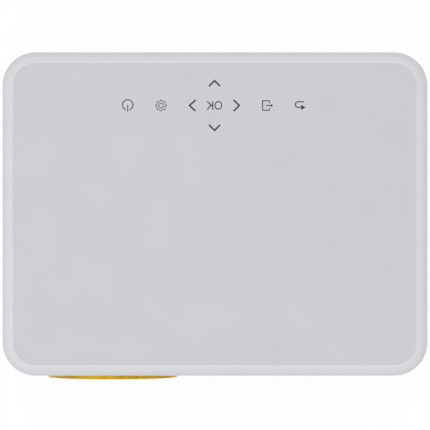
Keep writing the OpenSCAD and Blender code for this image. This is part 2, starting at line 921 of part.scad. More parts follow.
module focus_ring() {
  color("black") translate([lens_x, ring_y, lens_z]) facing_rear() difference() {
    union() {
      cylinder(r = ring_out_r, h = ring_l);
      translate([0, 0, front_y + wall_t + bezel_back + slide_gap - ring_y])
        cylinder(r = ring_out_r + ring_flange, h = 2);
    }
    translate([0, 0, ring_lip]) cylinder(r = ring_in_r, h = ring_l);
    translate([0, 0, -eps]) cylinder(r = tube_r + ring_gap, h = ring_lip + 2 * eps);
    for (i = [0 : grip_count - 1]) rotate([0, 0, i * 360 / grip_count])
      translate([(tube_r + ring_gap + ring_out_r) / 2 + grip_r, 0, -eps])
        cylinder(r = grip_r, h = eps + grip_l);
  }
}

// ---- Light engine ----

module engine_case() {
  color("dimgray") difference() {
    union() {
      difference() {
        translate([engine_left, engine_y, engine_z0])
          cube([engine_out_w, engine_l, engine_z1 - engine_z0]);
        translate([lens_x - engine_w / 2, engine_y + engine_t, engine_floor])
          cube([engine_w, engine_l - 2 * engine_t, engine_h + eps]);
      }
      translate([lens_x - engine_w / 2 - eps, baffle_y, engine_floor - eps])
        cube([engine_w + 2 * eps, baffle_t, engine_h + eps]);
      plate_ribs(fresnel_front_y, fresnel_t);
      plate_ribs(lcd_y, lcd_t);
      plate_ribs(fresnel_rear_y, fresnel_t);
    }
    translate([lens_x, engine_y - eps, lens_z]) facing_rear()
      cylinder(r = mount_in_r, h = engine_t + 2 * eps);
    translate([lens_x, baffle_y - eps, lens_z]) facing_rear()
      cylinder(r = condenser_r - baffle_rim, h = baffle_t + 2 * eps);
    translate([lens_x, engine_back - engine_t - eps, lens_z]) facing_rear()
      cylinder(r = led_hole_r, h = engine_t + 2 * eps);
    // Air from the intake fan crosses the panel through both side walls.
    for (x = [engine_left - eps, engine_right - engine_t - eps])
      translate([x, fresnel_front_y + fresnel_t + rib_t + plate_gap,
                 lens_z - case_side_window / 2])
        cube([engine_t + 2 * eps, lcd_y - fresnel_front_y - fresnel_t - 2 * rib_t - 2 * plate_gap,
              case_side_window]);
  }
}

// Ribs on both side walls, before and behind a plate.
module plate_ribs(y, t) {
  for (s = [-1, 1], f = [y - rib_t - plate_gap, y + t + plate_gap])
    translate([lens_x + s * (engine_w / 2 - rib_w / 2) - rib_w / 2 - (s < 0 ? eps : 0), f,
               engine_floor - eps])
      cube([rib_w + eps, rib_t, engine_h + eps]);
}

module engine_cover() {
  color("dimgray") translate([engine_left, engine_y, engine_z1])
    difference() {
      union() {
        cube([engine_out_w, engine_l, engine_t]);
        for (y = [engine_t + slide_gap, engine_l - 2 * engine_t - slide_gap])
          translate([engine_t + cover_lip_in, y, -engine_t])
            cube([engine_w - 2 * cover_lip_in, engine_t, engine_t + eps]);
      }
      for (x = [engine_t / 2, engine_out_w - engine_t / 2],
           y = [cover_screw_in, engine_l - cover_screw_in])
        translate([x, y, -eps]) cylinder(r = cover_screw_r, h = engine_t + 2 * eps);
    }
}

module engine_plate(y, t) {
  translate([lens_x - engine_w / 2 + plate_gap, y, engine_floor])
    cube([engine_w - 2 * plate_gap, t, engine_h - plate_gap]);
}

module fresnel_front() {
  color("lightcyan") engine_plate(fresnel_front_y, fresnel_t);
}

module fresnel_rear() {
  color("lightcyan") engine_plate(fresnel_rear_y, fresnel_t);
}

module lcd_panel() {
  color("slategray") engine_plate(lcd_y, lcd_t);
}

module condenser_lens() {
  color("lightcyan") translate([lens_x, condenser_y, lens_z]) facing_rear() intersection() {
    cylinder(r = condenser_r, h = condenser_t);
    translate([0, 0, condenser_t - condenser_curve]) sphere(condenser_curve, $fn = dome_fn);
  }
}

module light_cup() {
  color("silver") translate([lens_x, cup_y, lens_z]) facing_rear() difference() {
    cylinder(r1 = condenser_r, r2 = cup_small_r + cup_t, h = cup_l);
    translate([0, 0, -hair])
      cylinder(r1 = condenser_r - cup_t, r2 = cup_small_r, h = cup_l + 2 * hair);
  }
}

module led_module() {
  color("orange") translate([lens_x, engine_back, lens_z]) {
    translate([-led_plate / 2, 0, -led_plate / 2]) cube([led_plate, led_plate_t, led_plate]);
    facing_front() cylinder(r = cup_small_r - 1, h = 1);
  }
}

module heat_sink() {
  fin_pitch = (sink_w - fin_t) / (fin_count - 1);
  color("silver") translate([lens_x - sink_w / 2, sink_y, lens_z - sink_h / 2]) {
    cube([sink_w, sink_base_t, sink_h]);
    for (i = [0 : fin_count - 1])
      translate([i * fin_pitch, sink_base_t - eps, 0]) cube([fin_t, fin_l + eps, sink_h]);
  }
}

// ---- Fans, with the axis along +Z and the open face at z = thick ----

module fan_frame(size, thick) {
  bore_r = size / 2 - fan_wall;
  hub_r = size * fan_hub_share;
  difference() {
    slab(size, size, thick, fan_corner_r);
    translate([0, 0, -eps]) cylinder(r = bore_r, h = thick + 2 * eps);
    for (sx = [-1, 1], sy = [-1, 1])
      translate([sx, sy, 0] * (size / 2 - fan_screw_in) - [0, 0, eps])
        cylinder(r = fan_screw_r, h = thick + 2 * eps);
  }
  difference() {
    union() {
      cylinder(r = hub_r - fan_boss_less, h = fan_floor);
      for (a = strut_angles) rotate([0, 0, a]) translate([-bore_r - eps, -fan_strut_w / 2, 0])
        cube([2 * bore_r + 2 * eps, fan_strut_w, fan_floor]);
      cylinder(r = axle_r + axle_boss_t, h = thick / 2);
    }
    translate([0, 0, fan_floor / 2]) cylinder(r = axle_r + run_gap, h = thick);
  }
}

module fan_rotor(size, thick) {
  tip_r = size / 2 - fan_wall - fan_tip_gap;
  hub_r = size * fan_hub_share;
  z0 = fan_floor + fan_base_gap;
  z1 = thick - fan_face_gap;
  difference() {
    translate([0, 0, z0]) cylinder(r = hub_r, h = z1 - z0);
    translate([0, 0, z0 - eps]) cylinder(r = hub_r - fan_hub_t, h = z1 - z0 - fan_hub_t + eps);
  }
  translate([0, 0, fan_floor / 2 + slide_gap])
    cylinder(r = axle_r, h = z1 - fan_floor / 2 - slide_gap - fan_hub_t / 2);
  intersection() {
    translate([0, 0, z0 + blade_trim])
      tube(tip_r, hub_r - fan_hub_t / 2, z1 - z0 - 2 * blade_trim);
    for (i = [0 : blade_count - 1]) rotate([0, 0, i * 360 / blade_count])
      translate([hub_r - blade_root, 0, (z0 + z1) / 2]) rotate([blade_pitch, 0, 0])
        translate([0, -thick, -blade_t / 2]) cube([tip_r, 2 * thick, blade_t]);
  }
}

module at_exhaust() {
  translate([lens_x, exhaust_y, lens_z]) facing_rear() children();
}

module at_intake() {
  translate([intake_x, intake_y, lens_z]) rotate([0, 90, 0]) children();
}

module exhaust_fan_frame() {
  color("black") at_exhaust() fan_frame(exhaust_size, exhaust_t);
}

module exhaust_rotor() {
  color("dimgray") at_exhaust() fan_rotor(exhaust_size, exhaust_t);
}

module intake_fan_frame() {
  color("black") at_intake() fan_frame(intake_size, intake_t);
}

module intake_rotor() {
  color("dimgray") at_intake() fan_rotor(intake_size, intake_t);
}

// ---- Speakers ----

module speaker_baskets() {
  color("dimgray") at_speakers() facing_rear() {
    tube(speaker_r, cone_r + surround_gap, speaker_rim);
    difference() {
      translate([0, 0, speaker_rim - eps / 2])
        cylinder(r1 = speaker_r - 1, r2 = magnet_r - 1, h = speaker_l - magnet_l - speaker_rim);
      translate([0, 0, speaker_rim - eps / 2 - hair])
        cylinder(r1 = speaker_r - 1 - basket_t, r2 = magnet_r - 1 - basket_t,
                 h = speaker_l - magnet_l - speaker_rim - basket_t);
    }
    translate([0, 0, speaker_l - magnet_l - eps / 2]) cylinder(r = magnet_r, h = magnet_l);
  }
}

module speaker_cones() {
  color("black") at_speakers() facing_rear() {
    difference() {
      translate([0, 0, 1]) cylinder(r1 = cone_r, r2 = cone_neck_r, h = cone_depth);
      translate([0, 0, 1 - hair])
        cylinder(r1 = cone_r - cone_t, r2 = cone_neck_r - cone_t, h = cone_depth - cone_t);
    }
    translate([0, 0, 1]) tube(cone_r + surround_gap, cone_r - cone_t, cone_t);
  }
}

// ---- Bracket, boards and sockets ----

module chassis_bracket() {
  color("silver") difference() {
    union() {
      translate([bracket_x0, -bracket_half, bracket_z])
        cube([bracket_x1 - bracket_x0, bracket_half + bracket_back, bracket_t]);
      for (sy = [-1, 1], x = [bracket_x0 + leg_in, bracket_x1 - leg_in - leg_w])
        translate([x, 0, 0]) bracket_leg(sy);
      at_main_posts() translate([0, 0, bracket_z]) cylinder(r = post_r, h = post_l + bracket_t);
      at_power_posts() translate([0, 0, bracket_z]) cylinder(r = post_r, h = post_l + bracket_t);
    }
    at_main_posts()
      translate([0, 0, bracket_z - eps]) cylinder(r = post_bore_r, h = post_l + 3 * eps);
    at_power_posts()
      translate([0, 0, bracket_z - eps]) cylinder(r = post_bore_r, h = post_l + 3 * eps);
  }
}

module bracket_leg(side) {
  y0 = side > 0 ? bracket_half - bracket_t : -bracket_half;
  foot_y0 = side > 0 ? bracket_half - bracket_t : -bracket_half - leg_foot + bracket_t;
  translate([0, y0, floor_z]) cube([leg_w, bracket_t, bracket_z - floor_z + bracket_t / 2]);
  difference() {
    translate([0, foot_y0, floor_z]) cube([leg_w, leg_foot, bracket_t]);
    translate([leg_w / 2, foot_y0 + leg_foot / 2, floor_z - eps])
      cylinder(r = screw_bore_r, h = bracket_t + 2 * eps);
  }
}

module main_board() {
  color("seagreen") difference() {
    translate([main_x, main_y1 - main_d / 2, board_z]) slab(main_w, main_d, board_t, board_corner_r);
    at_main_posts() translate([0, 0, board_z - eps]) cylinder(r = screw_bore_r, h = board_t + 2 * eps);
  }
}

module chip_heat_sink() {
  pitch = (chip_side - fin_t) / (chip_fins - 1);
  color("silver")
    translate([main_x - chip_side / 2, main_y1 - main_d + chip_y, board_top]) {
      cube([chip_side, chip_side, chip_base_t]);
      for (i = [0 : chip_fins - 1]) translate([i * pitch, 0, 0]) cube([fin_t, chip_side, chip_h]);
    }
}

module board_screws() {
  color("silver") {
    at_main_posts() board_screw();
    at_power_posts() board_screw();
  }
}

module board_screw() {
  translate([0, 0, board_top]) cylinder(r = board_head_r, h = board_head_t);
  translate([0, 0, bracket_z])
    cylinder(r = board_screw_r, h = board_top - bracket_z + board_screw_out);
}

// A metal socket shell, open at y = 0, with a tongue inside: its width, thickness and height.
module socket_shell(w, h, l, tongue) {
  translate([-w / 2, -l, 0]) difference() {
    cube([w, l, h]);
    translate([metal_t, metal_t, metal_t]) cube([w - 2 * metal_t, l, h - 2 * metal_t]);
  }
  translate([-tongue[0] / 2, -l, tongue[2]]) cube([tongue[0], l - tongue_back, tongue[1]]);
}

module video_socket() {
  color("silver") translate([video_x, port_y, board_top])
    socket_shell(video_w, video_h, video_l, video_tongue);
}

module data_sockets() {
  color("silver") for (i = [0, 1]) translate([data_x + i * data_pitch, port_y, board_top])
    socket_shell(data_w, data_h, data_l, data_tongue);
}

module audio_jacks() {
  color("black") for (i = [0, 1])
    translate([jack_x + i * jack_pitch, port_y, board_top]) difference() {
      union() {
        translate([-jack_w / 2, -jack_l - 1, 0])
          cube([jack_w, jack_l + 1 - jack_nose_l + hair, jack_h]);
        translate([0, -jack_nose_l, jack_h / 2]) facing_rear()
          cylinder(r = jack_nose_r, h = jack_nose_l);
      }
      translate([0, -jack_l, jack_h / 2]) facing_rear() cylinder(r = jack_r, h = jack_l + eps);
    }
}

module ac_inlet() {
  color("black") translate([inlet_x, port_y, inlet_z]) {
    difference() {
      union() {
        translate([-inlet_w / 2, -inlet_l, -inlet_h / 2]) cube([inlet_w, inlet_l, inlet_h]);
        translate([-inlet_w / 2 - inlet_rim, panel_back_y - port_y - inlet_flange,
                   -inlet_h / 2 - inlet_rim])
          cube([inlet_w + 2 * inlet_rim, inlet_flange, inlet_h + 2 * inlet_rim]);
      }
      translate([0, -inlet_cavity_l, 0])
        upright(inlet_cavity_w, inlet_cavity_h, inlet_cavity_l + eps, inlet_cavity_h / 2 - hair);
    }
    for (s = [-1, 1]) translate([s * inlet_pin_pitch / 2, -inlet_cavity_l - eps, 0])
      facing_rear() cylinder(r = inlet_pin_r, h = inlet_cavity_l - 2);
  }
}

module power_board() {
  color("darkgreen") difference() {
    translate([power_x, power_y, board_z]) slab(power_w, power_d, board_t, board_corner_r);
    at_power_posts() translate([0, 0, board_z - eps]) cylinder(r = screw_bore_r, h = board_t + 2 * eps);
  }
}

module power_transformer() {
  flange = [bobbin[0], bobbin[1], bobbin_t];
  color("goldenrod") translate([power_x - core_left, power_y, board_top]) {
    translate([-core[0] / 2, -core[1] / 2, bobbin_t]) cube(core);
    for (z = [0, bobbin_t + core[2]]) translate([-bobbin[0] / 2, -bobbin[1] / 2, z]) cube(flange);
  }
}

module power_capacitors() {
  color("midnightblue") for (p = capacitors)
    translate([power_x + p[0], power_y + p[1], board_top])
      cylinder(r = p[2], h = capacitor_rise * p[2]);
}

// ---- Disc drive: the fixed cage ----

module drive_pan() {
  color("silver") difference() {
    translate([drive_x0, -cage_half, drive_z])
      cube([drive_l, drive_w, drive_h - sheet_t]);
    translate([drive_x0 + sheet_t, -cage_inner, pan_top])
      cube([drive_l, 2 * cage_inner, drive_h]);
    at_drive_posts() translate([0, 0, drive_z - eps]) cylinder(r = screw_bore_r, h = 3 * eps);
  }
}

module drive_lid() {
  color("silver") {
    difference() {
      translate([drive_x0, -cage_half, lid_under]) cube([drive_l, drive_w, sheet_t]);
      for (x = [drive_x0 + lid_hole_in_x, drive_x1 - lid_hole_in_x], sy = [-1, 1])
        translate([x, sy * (cage_half - lid_hole_in_y), lid_under - eps])
          cylinder(r = lid_hole_r, h = 3 * eps);
    }
    for (sy = [-1, 1])
      translate([drive_x0, sy * (cage_half + sheet_t / 2) - sheet_t / 2, lid_under - lid_skirt])
        cube([drive_l, sheet_t, lid_skirt + sheet_t]);
  }
}

// Fixed outer rails, each with a groove that faces inwards.
module drive_rails() {
  color("whitesmoke") for (s = [0, 1]) mirror([0, s, 0])
    difference() {
      translate([drive_x0 + rail_in, outer_rail_in, rail_z - deck_gap])
        cube([drive_l - 2 * rail_in, rail_t, rail_h + deck_gap]);
      translate([drive_x0, outer_rail_in - eps, tongue_z - tongue_h / 2 - slide_gap])
        cube([drive_l + eps, tongue + slide_gap + eps, tongue_h + 2 * slide_gap]);
    }
}

module mid_rails() {
  color("silver") for (s = [0, 1]) mirror([0, s, 0])
    translate([drive_x0 + rail_in + tray_back, 0, 0]) {
      translate([0, mid_rail_in, rail_z]) cube([mid_rail_l, mid_rail_t, rail_h]);
      translate([0, mid_rail_in - tongue + slide_gap, tongue_z - tongue_h / 2])
        cube([mid_rail_l, mid_rail_t + 2 * tongue - 2 * slide_gap, tongue_h]);
    }
}

// ---- Disc drive: the tray and what rides on it ----

// Children are placed from the spindle's axis, with +X along the pickup's path.
module at_spindle() {
  translate([hub_x, 0, 0]) rotate([0, 0, pickup_angle]) children();
}

module disc_tray() {
  deck_half = cage_inner - deck_gap;
  color("dimgray") difference() {
    union() {
      translate([tray_x0, -deck_half, deck_z]) cube([tray_x1 - tray_x0, 2 * deck_half, deck_t]);
      for (s = [0, 1]) mirror([0, s, 0])
        translate([tray_x0, skirt_out - skirt_t, rail_z])
          cube([tray_x1 - tray_x0, skirt_t, deck_z - rail_z + eps]);
      for (x = [tray_x0, tray_x1 - rail_t])
        translate([x, -skirt_out, rail_z]) cube([rail_t, 2 * skirt_out, deck_z - rail_z + eps]);
      at_spindle() {
        for (u = [rod_u0 - block_in, rod_u1 + block_in - block_t], v = [-rod_v, rod_v])
          translate([u, v - block_w / 2, rod_z - rod_drop])
            cube([block_t, block_w, deck_z - rod_z + rod_drop + eps]);
        translate([lead_u1 - lead_end_gap, screw_v - lead_block_w / 2, rod_z - rod_drop])
          cube([lead_block_t, lead_block_w, deck_z - rod_z + rod_drop + eps]);
        for (a = arm_angles) rotate([0, 0, a]) translate([arm_r, 0, spindle_top()])
          cylinder(r = arm_post_r, h = deck_z - spindle_top() + eps);
      }
    }
    for (s = [0, 1]) mirror([0, s, 0])
      translate([tray_x0 - eps, skirt_out - tongue - slide_gap, tongue_z - tongue_h / 2 - slide_gap])
        cube([tray_x1 - tray_x0 + eps, tongue + slide_gap + eps, tongue_h + 2 * slide_gap]);
    translate([hub_x, 0, recess_z]) cylinder(r = recess_r, h = deck_t);
    translate([hub_x, 0, rail_z]) cylinder(r = hub_hole_r, h = deck_top - rail_z);
    at_spindle() {
      translate([slot_u0, -slot_v, deck_z - hair])
        cube([slot_u1 - slot_u0, 2 * slot_v, eye_z + eye_room - deck_z]);
      for (v = [-rod_v, rod_v]) translate([rod_u0, v, rod_z]) rotate([0, 90, 0])
        cylinder(r = rod_r, h = rod_u1 - rod_u0);
      translate([lead_u0, screw_v, rod_z]) rotate([0, 90, 0])
        cylinder(r = lead_r + run_gap, h = lead_u1 - lead_u0 + lead_end_gap);
    }
  }
}

function spindle_top() = spindle_plate_z + spindle_plate_t;

module tray_bezel() {
  h = drive_h - 2 * slide_gap;
  color("white") difference() {
    translate([tray_x1, 0, drive_z + drive_h / 2]) rotate([90, 0, 90])
      slab(drive_w, h, tray_bezel_t, tray_bezel_r);
    translate([tray_x1 - eps, button_y - button_w / 2 - button_gap,
               drive_z + drive_h / 2 - button_h / 2 - button_gap])
      cube([tray_bezel_t + 2 * eps, button_w + 2 * button_gap, button_h + 2 * button_gap]);
    for (p = [[led_y, led_r], [pin_hole_y, pin_hole_r]])
      translate([tray_x1 - eps, p[0], drive_z + drive_h / 2]) rotate([0, 90, 0])
        cylinder(r = p[1], h = tray_bezel_t + 2 * eps);
  }
}

module eject_button() {
  x0 = tray_x1 + eject_travel + slide_gap;
  color("white") translate([x0, button_y, drive_z + drive_h / 2]) rotate([90, 0, 90])
    slab(button_w, button_h, tray_x1 + tray_bezel_t + button_proud - x0, button_r);
}

module spindle_base() {
  color("silver") at_spindle() {
    difference() {
      translate([0, 0, spindle_plate_z]) {
        cylinder(r = spindle_plate_r, h = spindle_plate_t);
        for (a = arm_angles) rotate([0, 0, a]) {
          translate([0, -arm_w / 2, 0]) cube([arm_r, arm_w, spindle_plate_t]);
          translate([arm_r, 0, 0]) cylinder(r = arm_w / 2, h = spindle_plate_t);
        }
        cylinder(r = sleeve_r, h = sleeve_l);
      }
      translate([0, 0, spindle_plate_z - eps])
        cylinder(r = shaft_r + run_gap, h = sleeve_l + 2 * eps);
    }
  }
}

module spindle_hub() {
  can_z = spindle_top() + can_gap;
  can_top = seat_z - turntable_t;
  color("gainsboro") translate([hub_x, 0, 0]) {
    difference() {
      translate([0, 0, can_z]) cylinder(r = can_r, h = can_top - can_z + hub_overlap);
      translate([0, 0, can_z - eps]) cylinder(r = can_r - can_t, h = can_top - can_z - can_t + eps);
    }
    translate([0, 0, can_top]) cylinder(r = turntable_r, h = turntable_t);
    translate([0, 0, seat_z - hub_overlap])
      cylinder(r = hub_r, h = hub_h - hub_bevel + hub_overlap);
    translate([0, 0, seat_z + hub_h - hub_bevel])
      cylinder(r1 = hub_r, r2 = hub_r - hub_bevel, h = hub_bevel);
    translate([0, 0, spindle_plate_z + hub_overlap])
      cylinder(r = shaft_r, h = can_top - spindle_plate_z);
  }
}

module pickup_rods() {
  color("silver") at_spindle() for (v = [-rod_v, rod_v])
    translate([rod_u0, v, rod_z]) rotate([0, 90, 0]) cylinder(r = rod_r, h = rod_u1 - rod_u0);
}

module sled_motor() {
  color("silver") at_spindle() translate([0, screw_v, rod_z]) {
    translate([stepper_u0, 0, 0]) rotate([0, 90, 0])
      cylinder(r = stepper_r, h = stepper_u1 - stepper_u0);
    difference() {
      translate([stepper_u1, -stepper_plate[1] / 2, -rod_drop]) cube(stepper_plate);
      translate([stepper_u1 - eps, 0, 0]) rotate([0, 90, 0])
        cylinder(r = lead_r + lead_end_gap, h = 3 * eps);
    }
  }
}

module pickup_sled() {
  color("silver") at_spindle() difference() {
    union() {
      translate([pickup_u - sled_l / 2, -sled_v, rod_z - sled_h / 2])
        cube([sled_l, 2 * sled_v, sled_h]);
      translate([pickup_u - eye_l / 2, -eye_w / 2, rod_z]) cube([eye_l, eye_w, eye_z - rod_z]);
      translate([pickup_u - nut_l / 2, screw_v - nut_w / 2, rod_z - nut_h / 2])
        cube([nut_l, -sled_v - screw_v + nut_w / 2 + eps, nut_h]);
    }
    for (v = [-rod_v, rod_v])
      translate([pickup_u - sled_l, v, rod_z]) rotate([0, 90, 0])
        cylinder(r = rod_r + run_gap, h = 2 * sled_l);
    translate([pickup_u - sled_l, screw_v, rod_z]) rotate([0, 90, 0])
      cylinder(r = lead_r + 2 * run_gap, h = 2 * sled_l);
  }
}

module pickup_lens() {
  color("skyblue") at_spindle() translate([pickup_u, 0, eye_z])
    cylinder(r1 = objective_r, r2 = objective_r - objective_h, h = objective_h);
}

module lead_screw() {
  color("silver") at_spindle() translate([lead_u0, screw_v, rod_z]) rotate([0, 90, 0])
    cylinder(r = lead_r, h = lead_u1 - lead_u0);
}

// ---- Levelling foot ----

module foot_pad() {
  color("dimgray") translate([0, level_y, level_rest]) cylinder(r = level_pad_r, h = level_pad_h);
}

module foot_screw() {
  z = level_rest + level_pad_h;
  color("gray") translate([0, level_y, z]) difference() {
    union() {
      cylinder(r = level_wheel_r, h = level_wheel_h);
      cylinder(r = level_stem_r, h = level_top - z);
    }
    for (i = [0 : level_notches - 1]) rotate([0, 0, i * 360 / level_notches])
      translate([level_wheel_r, 0, -eps])
        cylinder(r = level_notch_r, h = level_wheel_h - 1 + eps);
  }
}

// ---- Every piece, moved so that the whole object's middle is over the origin ----

module placed() {
  translate([0, body_shift, 0]) children();
}

placed() lower_shell();
placed() upper_shell();
placed() top_panel();
placed() touch_board();
placed() lens_bezel();
placed() front_grille();
placed() ir_window();
placed() rear_panel();
placed() side_grille();
placed() dust_filter();
placed() lens_mount();
placed() engine_case();
placed() engine_cover();
placed() fresnel_front();
placed() lcd_panel();
placed() fresnel_rear();
placed() condenser_lens();
placed() light_cup();
placed() led_module();
placed() heat_sink();
placed() exhaust_fan_frame();
placed() intake_fan_frame();
placed() speaker_baskets();
placed() speaker_cones();
placed() chassis_bracket();
placed() main_board();
placed() chip_heat_sink();
placed() video_socket();
placed() data_sockets();
placed() audio_jacks();
placed() ac_inlet();
placed() power_board();
placed() power_transformer();
placed() power_capacitors();
placed() rubber_feet();
placed() tripod_insert();
placed() case_screws();
placed() board_screws();
placed() drive_pan();
placed() drive_lid();
placed() drive_rails();
placed() mid_rails();
placed() disc_tray();
placed() tray_bezel();
placed() spindle_base();
placed() pickup_rods();
placed() sled_motor();
placed() eject_button();
placed() spindle_hub();
placed() pickup_sled();
placed() pickup_lens();
placed() lead_screw();
placed() exhaust_rotor();
placed() intake_rotor();
placed() focus_ring();
placed() lens_tube();
placed() lens_glass();
placed() foot_pad();
placed() foot_screw();
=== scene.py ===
from math import atan2, cos, pi, radians, sin

import bmesh
import bpy
from mathutils import Matrix, Vector


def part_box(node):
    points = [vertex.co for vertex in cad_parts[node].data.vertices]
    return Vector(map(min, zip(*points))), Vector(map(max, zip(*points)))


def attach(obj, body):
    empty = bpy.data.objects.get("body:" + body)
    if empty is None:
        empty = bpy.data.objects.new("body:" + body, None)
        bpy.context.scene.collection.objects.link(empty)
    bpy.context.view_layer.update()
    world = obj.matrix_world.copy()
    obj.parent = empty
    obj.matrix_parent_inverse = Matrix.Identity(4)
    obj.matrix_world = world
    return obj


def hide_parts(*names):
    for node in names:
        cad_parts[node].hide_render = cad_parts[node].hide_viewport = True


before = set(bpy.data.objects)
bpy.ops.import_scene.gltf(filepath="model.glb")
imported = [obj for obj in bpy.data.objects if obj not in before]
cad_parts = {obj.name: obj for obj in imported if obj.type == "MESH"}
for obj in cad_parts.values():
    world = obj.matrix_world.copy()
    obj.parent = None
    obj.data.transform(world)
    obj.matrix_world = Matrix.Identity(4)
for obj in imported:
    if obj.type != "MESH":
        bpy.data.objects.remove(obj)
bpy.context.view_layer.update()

MM = 0.001

# Sizes that several pieces share, in millimetres, as the solids have them.
LENS_X, LENS_Z = -56.2, 47.5
FRONT_Y, REAR_Y = -86.45, 88.25
PLATE_TOP = 91.3
PRINT_HEIGHT = 0.03
SAME_PLACE = 0.002  # points nearer than this are one

WHOLE_TURN = 2 * pi

AXES = {"X": Vector((1, 0, 0)), "Y": Vector((0, 1, 0)), "Z": Vector((0, 0, 1))}
STANDING = {"X": (0, pi / 2, 0), "Y": (pi / 2, 0, 0), "Z": (0, 0, 0)}


# ---- Shaping by hand ----

def let_go():
    """Object mode with nothing selected, so that the next tool works on its own piece alone."""
    if bpy.context.mode != "OBJECT":
        bpy.ops.object.mode_set(mode="OBJECT")
    bpy.ops.object.select_all(action="DESELECT")


def take(*pieces):
    """Selects these pieces and no others, the first of them active."""
    let_go()
    for piece in pieces:
        piece.select_set(True)
    bpy.context.view_layer.objects.active = pieces[0]


def open_up(piece, mode="FACE"):
    """Edit mode on one piece, for its points, edges or faces, with nothing selected."""
    take(piece)
    bpy.ops.object.mode_set(mode="EDIT")
    bpy.ops.mesh.select_mode(type=mode)
    bpy.ops.mesh.select_all(action="DESELECT")


def pick(piece, wanted):
    """In edit mode, selects what passes the test: points by their place, edges by their two
    ends, or faces by their middle and normal. Places are in millimetres."""
    mesh = bmesh.from_edit_mesh(piece.data)
    mesh.normal_update()
    if "VERT" in mesh.select_mode:
        found = [point for point in mesh.verts if wanted(point.co / MM)]
    elif "EDGE" in mesh.select_mode:
        found = [edge for edge in mesh.edges if wanted(*(end.co / MM for end in edge.verts))]
    else:
        found = [face for face in mesh.faces
                 if wanted(face.calc_center_median() / MM, face.normal)]
    for part in found:
        part.select_set(True)
    mesh.select_flush_mode()
    bmesh.update_edit_mesh(piece.data)


def pick_all():
    """In edit mode, selects everything."""
    bpy.ops.mesh.select_all(action="SELECT")


def settle(name=None):
    """Puts the active piece's place into its mesh, so that the piece itself sits at the origin."""
    piece = bpy.context.object
    bpy.ops.object.transform_apply(location=True, rotation=True, scale=True)
    if name:
        piece.name = piece.data.name = name
    return piece


def moved(piece, matrix):
    """The piece, carried by the matrix."""
    piece.matrix_world = matrix
    take(piece)
    return settle()


def corners(node):
    """A solid's lowest and highest corner in millimetres."""
    return [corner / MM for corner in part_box(node)]


def round_spot(x, y, half_x, half_y, low, high):
    """The two corners of a box round a spot on a board or plate."""
    return (x - half_x, y - half_y, low), (x + half_x, y + half_y, high)


def block(name, low, high):
    """A box between two corners."""
    let_go()
    middle = [(a + b) / 2 * MM for a, b in zip(low, high)]
    size = [(b - a) * MM for a, b in zip(low, high)]
    bpy.ops.mesh.primitive_cube_add(size=1, location=middle, scale=size)
    return settle(name)


def slab(name, low, high, axis, radius, steps=8):
    """A box between two corners whose edges along one axis are rounded."""
    piece = block(name, low, high)
    open_up(piece, "EDGE")
    pick(piece, lambda a, b: abs((b - a).normalized().dot(AXES[axis])) > 0.99)
    bpy.ops.mesh.bevel(offset=radius * MM, segments=steps, affect="EDGES")
    let_go()
    return piece


def drum(name, middle, radius, depth, axis, sides=48):
    """A cylinder round its middle."""
    let_go()
    bpy.ops.mesh.primitive_cylinder_add(
        vertices=sides, radius=radius * MM, depth=depth * MM,
        location=Vector(middle) * MM, rotation=STANDING[axis])
    return settle(name)


def turned(name, middle, axis, profile, steps=96):
    """A lathe-turned piece: the profile's points are (radius, distance along the axis). A
    profile that doesn't start on the axis is closed."""
    if profile[0][0]:
        profile = profile + profile[:1]
    along = AXES[axis]
    out = AXES["X"] if axis != "X" else AXES["Y"]
    points = [(Vector(middle) + out * r + along * h) * MM for r, h in profile]
    let_go()
    bpy.ops.mesh.primitive_plane_add(size=MM, location=points[0])
    piece = settle(name)
    open_up(piece, "VERT")
    pick_all()
    bpy.ops.mesh.merge(type="CENTER")
    for here, there in zip(points, points[1:]):
        bpy.ops.mesh.extrude_region_move(TRANSFORM_OT_translate={"value": there - here})
    pick_all()
    bpy.ops.mesh.spin(steps=steps, angle=WHOLE_TURN, center=Vector(middle) * MM, axis=along)
    pick_all()
    bpy.ops.mesh.remove_doubles(threshold=SAME_PLACE * MM)
    bpy.ops.mesh.normals_make_consistent(inside=False)
    let_go()
    return piece


def worked(piece, kind, **settings):
    """The piece after one modifier with these settings."""
    take(piece)
    bpy.ops.object.modifier_add(type=kind)
    change = piece.modifiers[-1]
    for key, value in settings.items():
        setattr(change, key, value)
    bpy.ops.object.modifier_apply(modifier=change.name)
    return piece


def eased(piece, width, segments=2, angle=30):
    """Rounds the edges sharper than the angle."""
    return worked(piece, "BEVEL", width=width * MM, segments=segments, limit_method="ANGLE",
                  angle_limit=radians(angle), loop_slide=False)


def combine(piece, tool, how="DIFFERENCE"):
    """Cuts the tool out of the piece, or fuses it on, and puts the tool away."""
    worked(piece, "BOOLEAN", operation=how, solver="EXACT", object=tool)
    bpy.data.objects.remove(tool)
    return piece


def copy_to(piece, matrix):
    """A copy with its own mesh, carried by the matrix."""
    take(piece)
    bpy.ops.object.duplicate(linked=False)
    return moved(bpy.context.object, matrix)


def joined(pieces):
    """Several pieces as one."""
    take(*pieces)
    if len(pieces) > 1:
        bpy.ops.object.join()
    return bpy.context.object


def shifted(piece, steps):
    """The piece with copies of it, shifted by these millimetres, as one piece."""
    shifts = [Matrix.Translation(Vector(step) * MM) for step in steps]
    return joined([piece] + [copy_to(piece, shift) for shift in shifts])


def about(middle, axis, angle):
    """The matrix that turns about a point."""
    there = Matrix.Translation(Vector(middle) * MM)
    return there @ Matrix.Rotation(angle, 4, AXES[axis]) @ there.inverted()


def round_about(piece, middle, axis, count):
    """The piece with copies of it, spread round an axis, as one piece."""
    turns = [about(middle, axis, WHOLE_TURN * k / count) for k in range(1, count)]
    return joined([piece] + [copy_to(piece, turn) for turn in turns])


def cut_crosswise(piece, tool, middle):
    """Cuts the tool out of the piece twice: as it lies, and a quarter turn round."""
    across = copy_to(tool, about(middle, "Z", pi / 2))
    combine(piece, tool)
    return combine(piece, across)


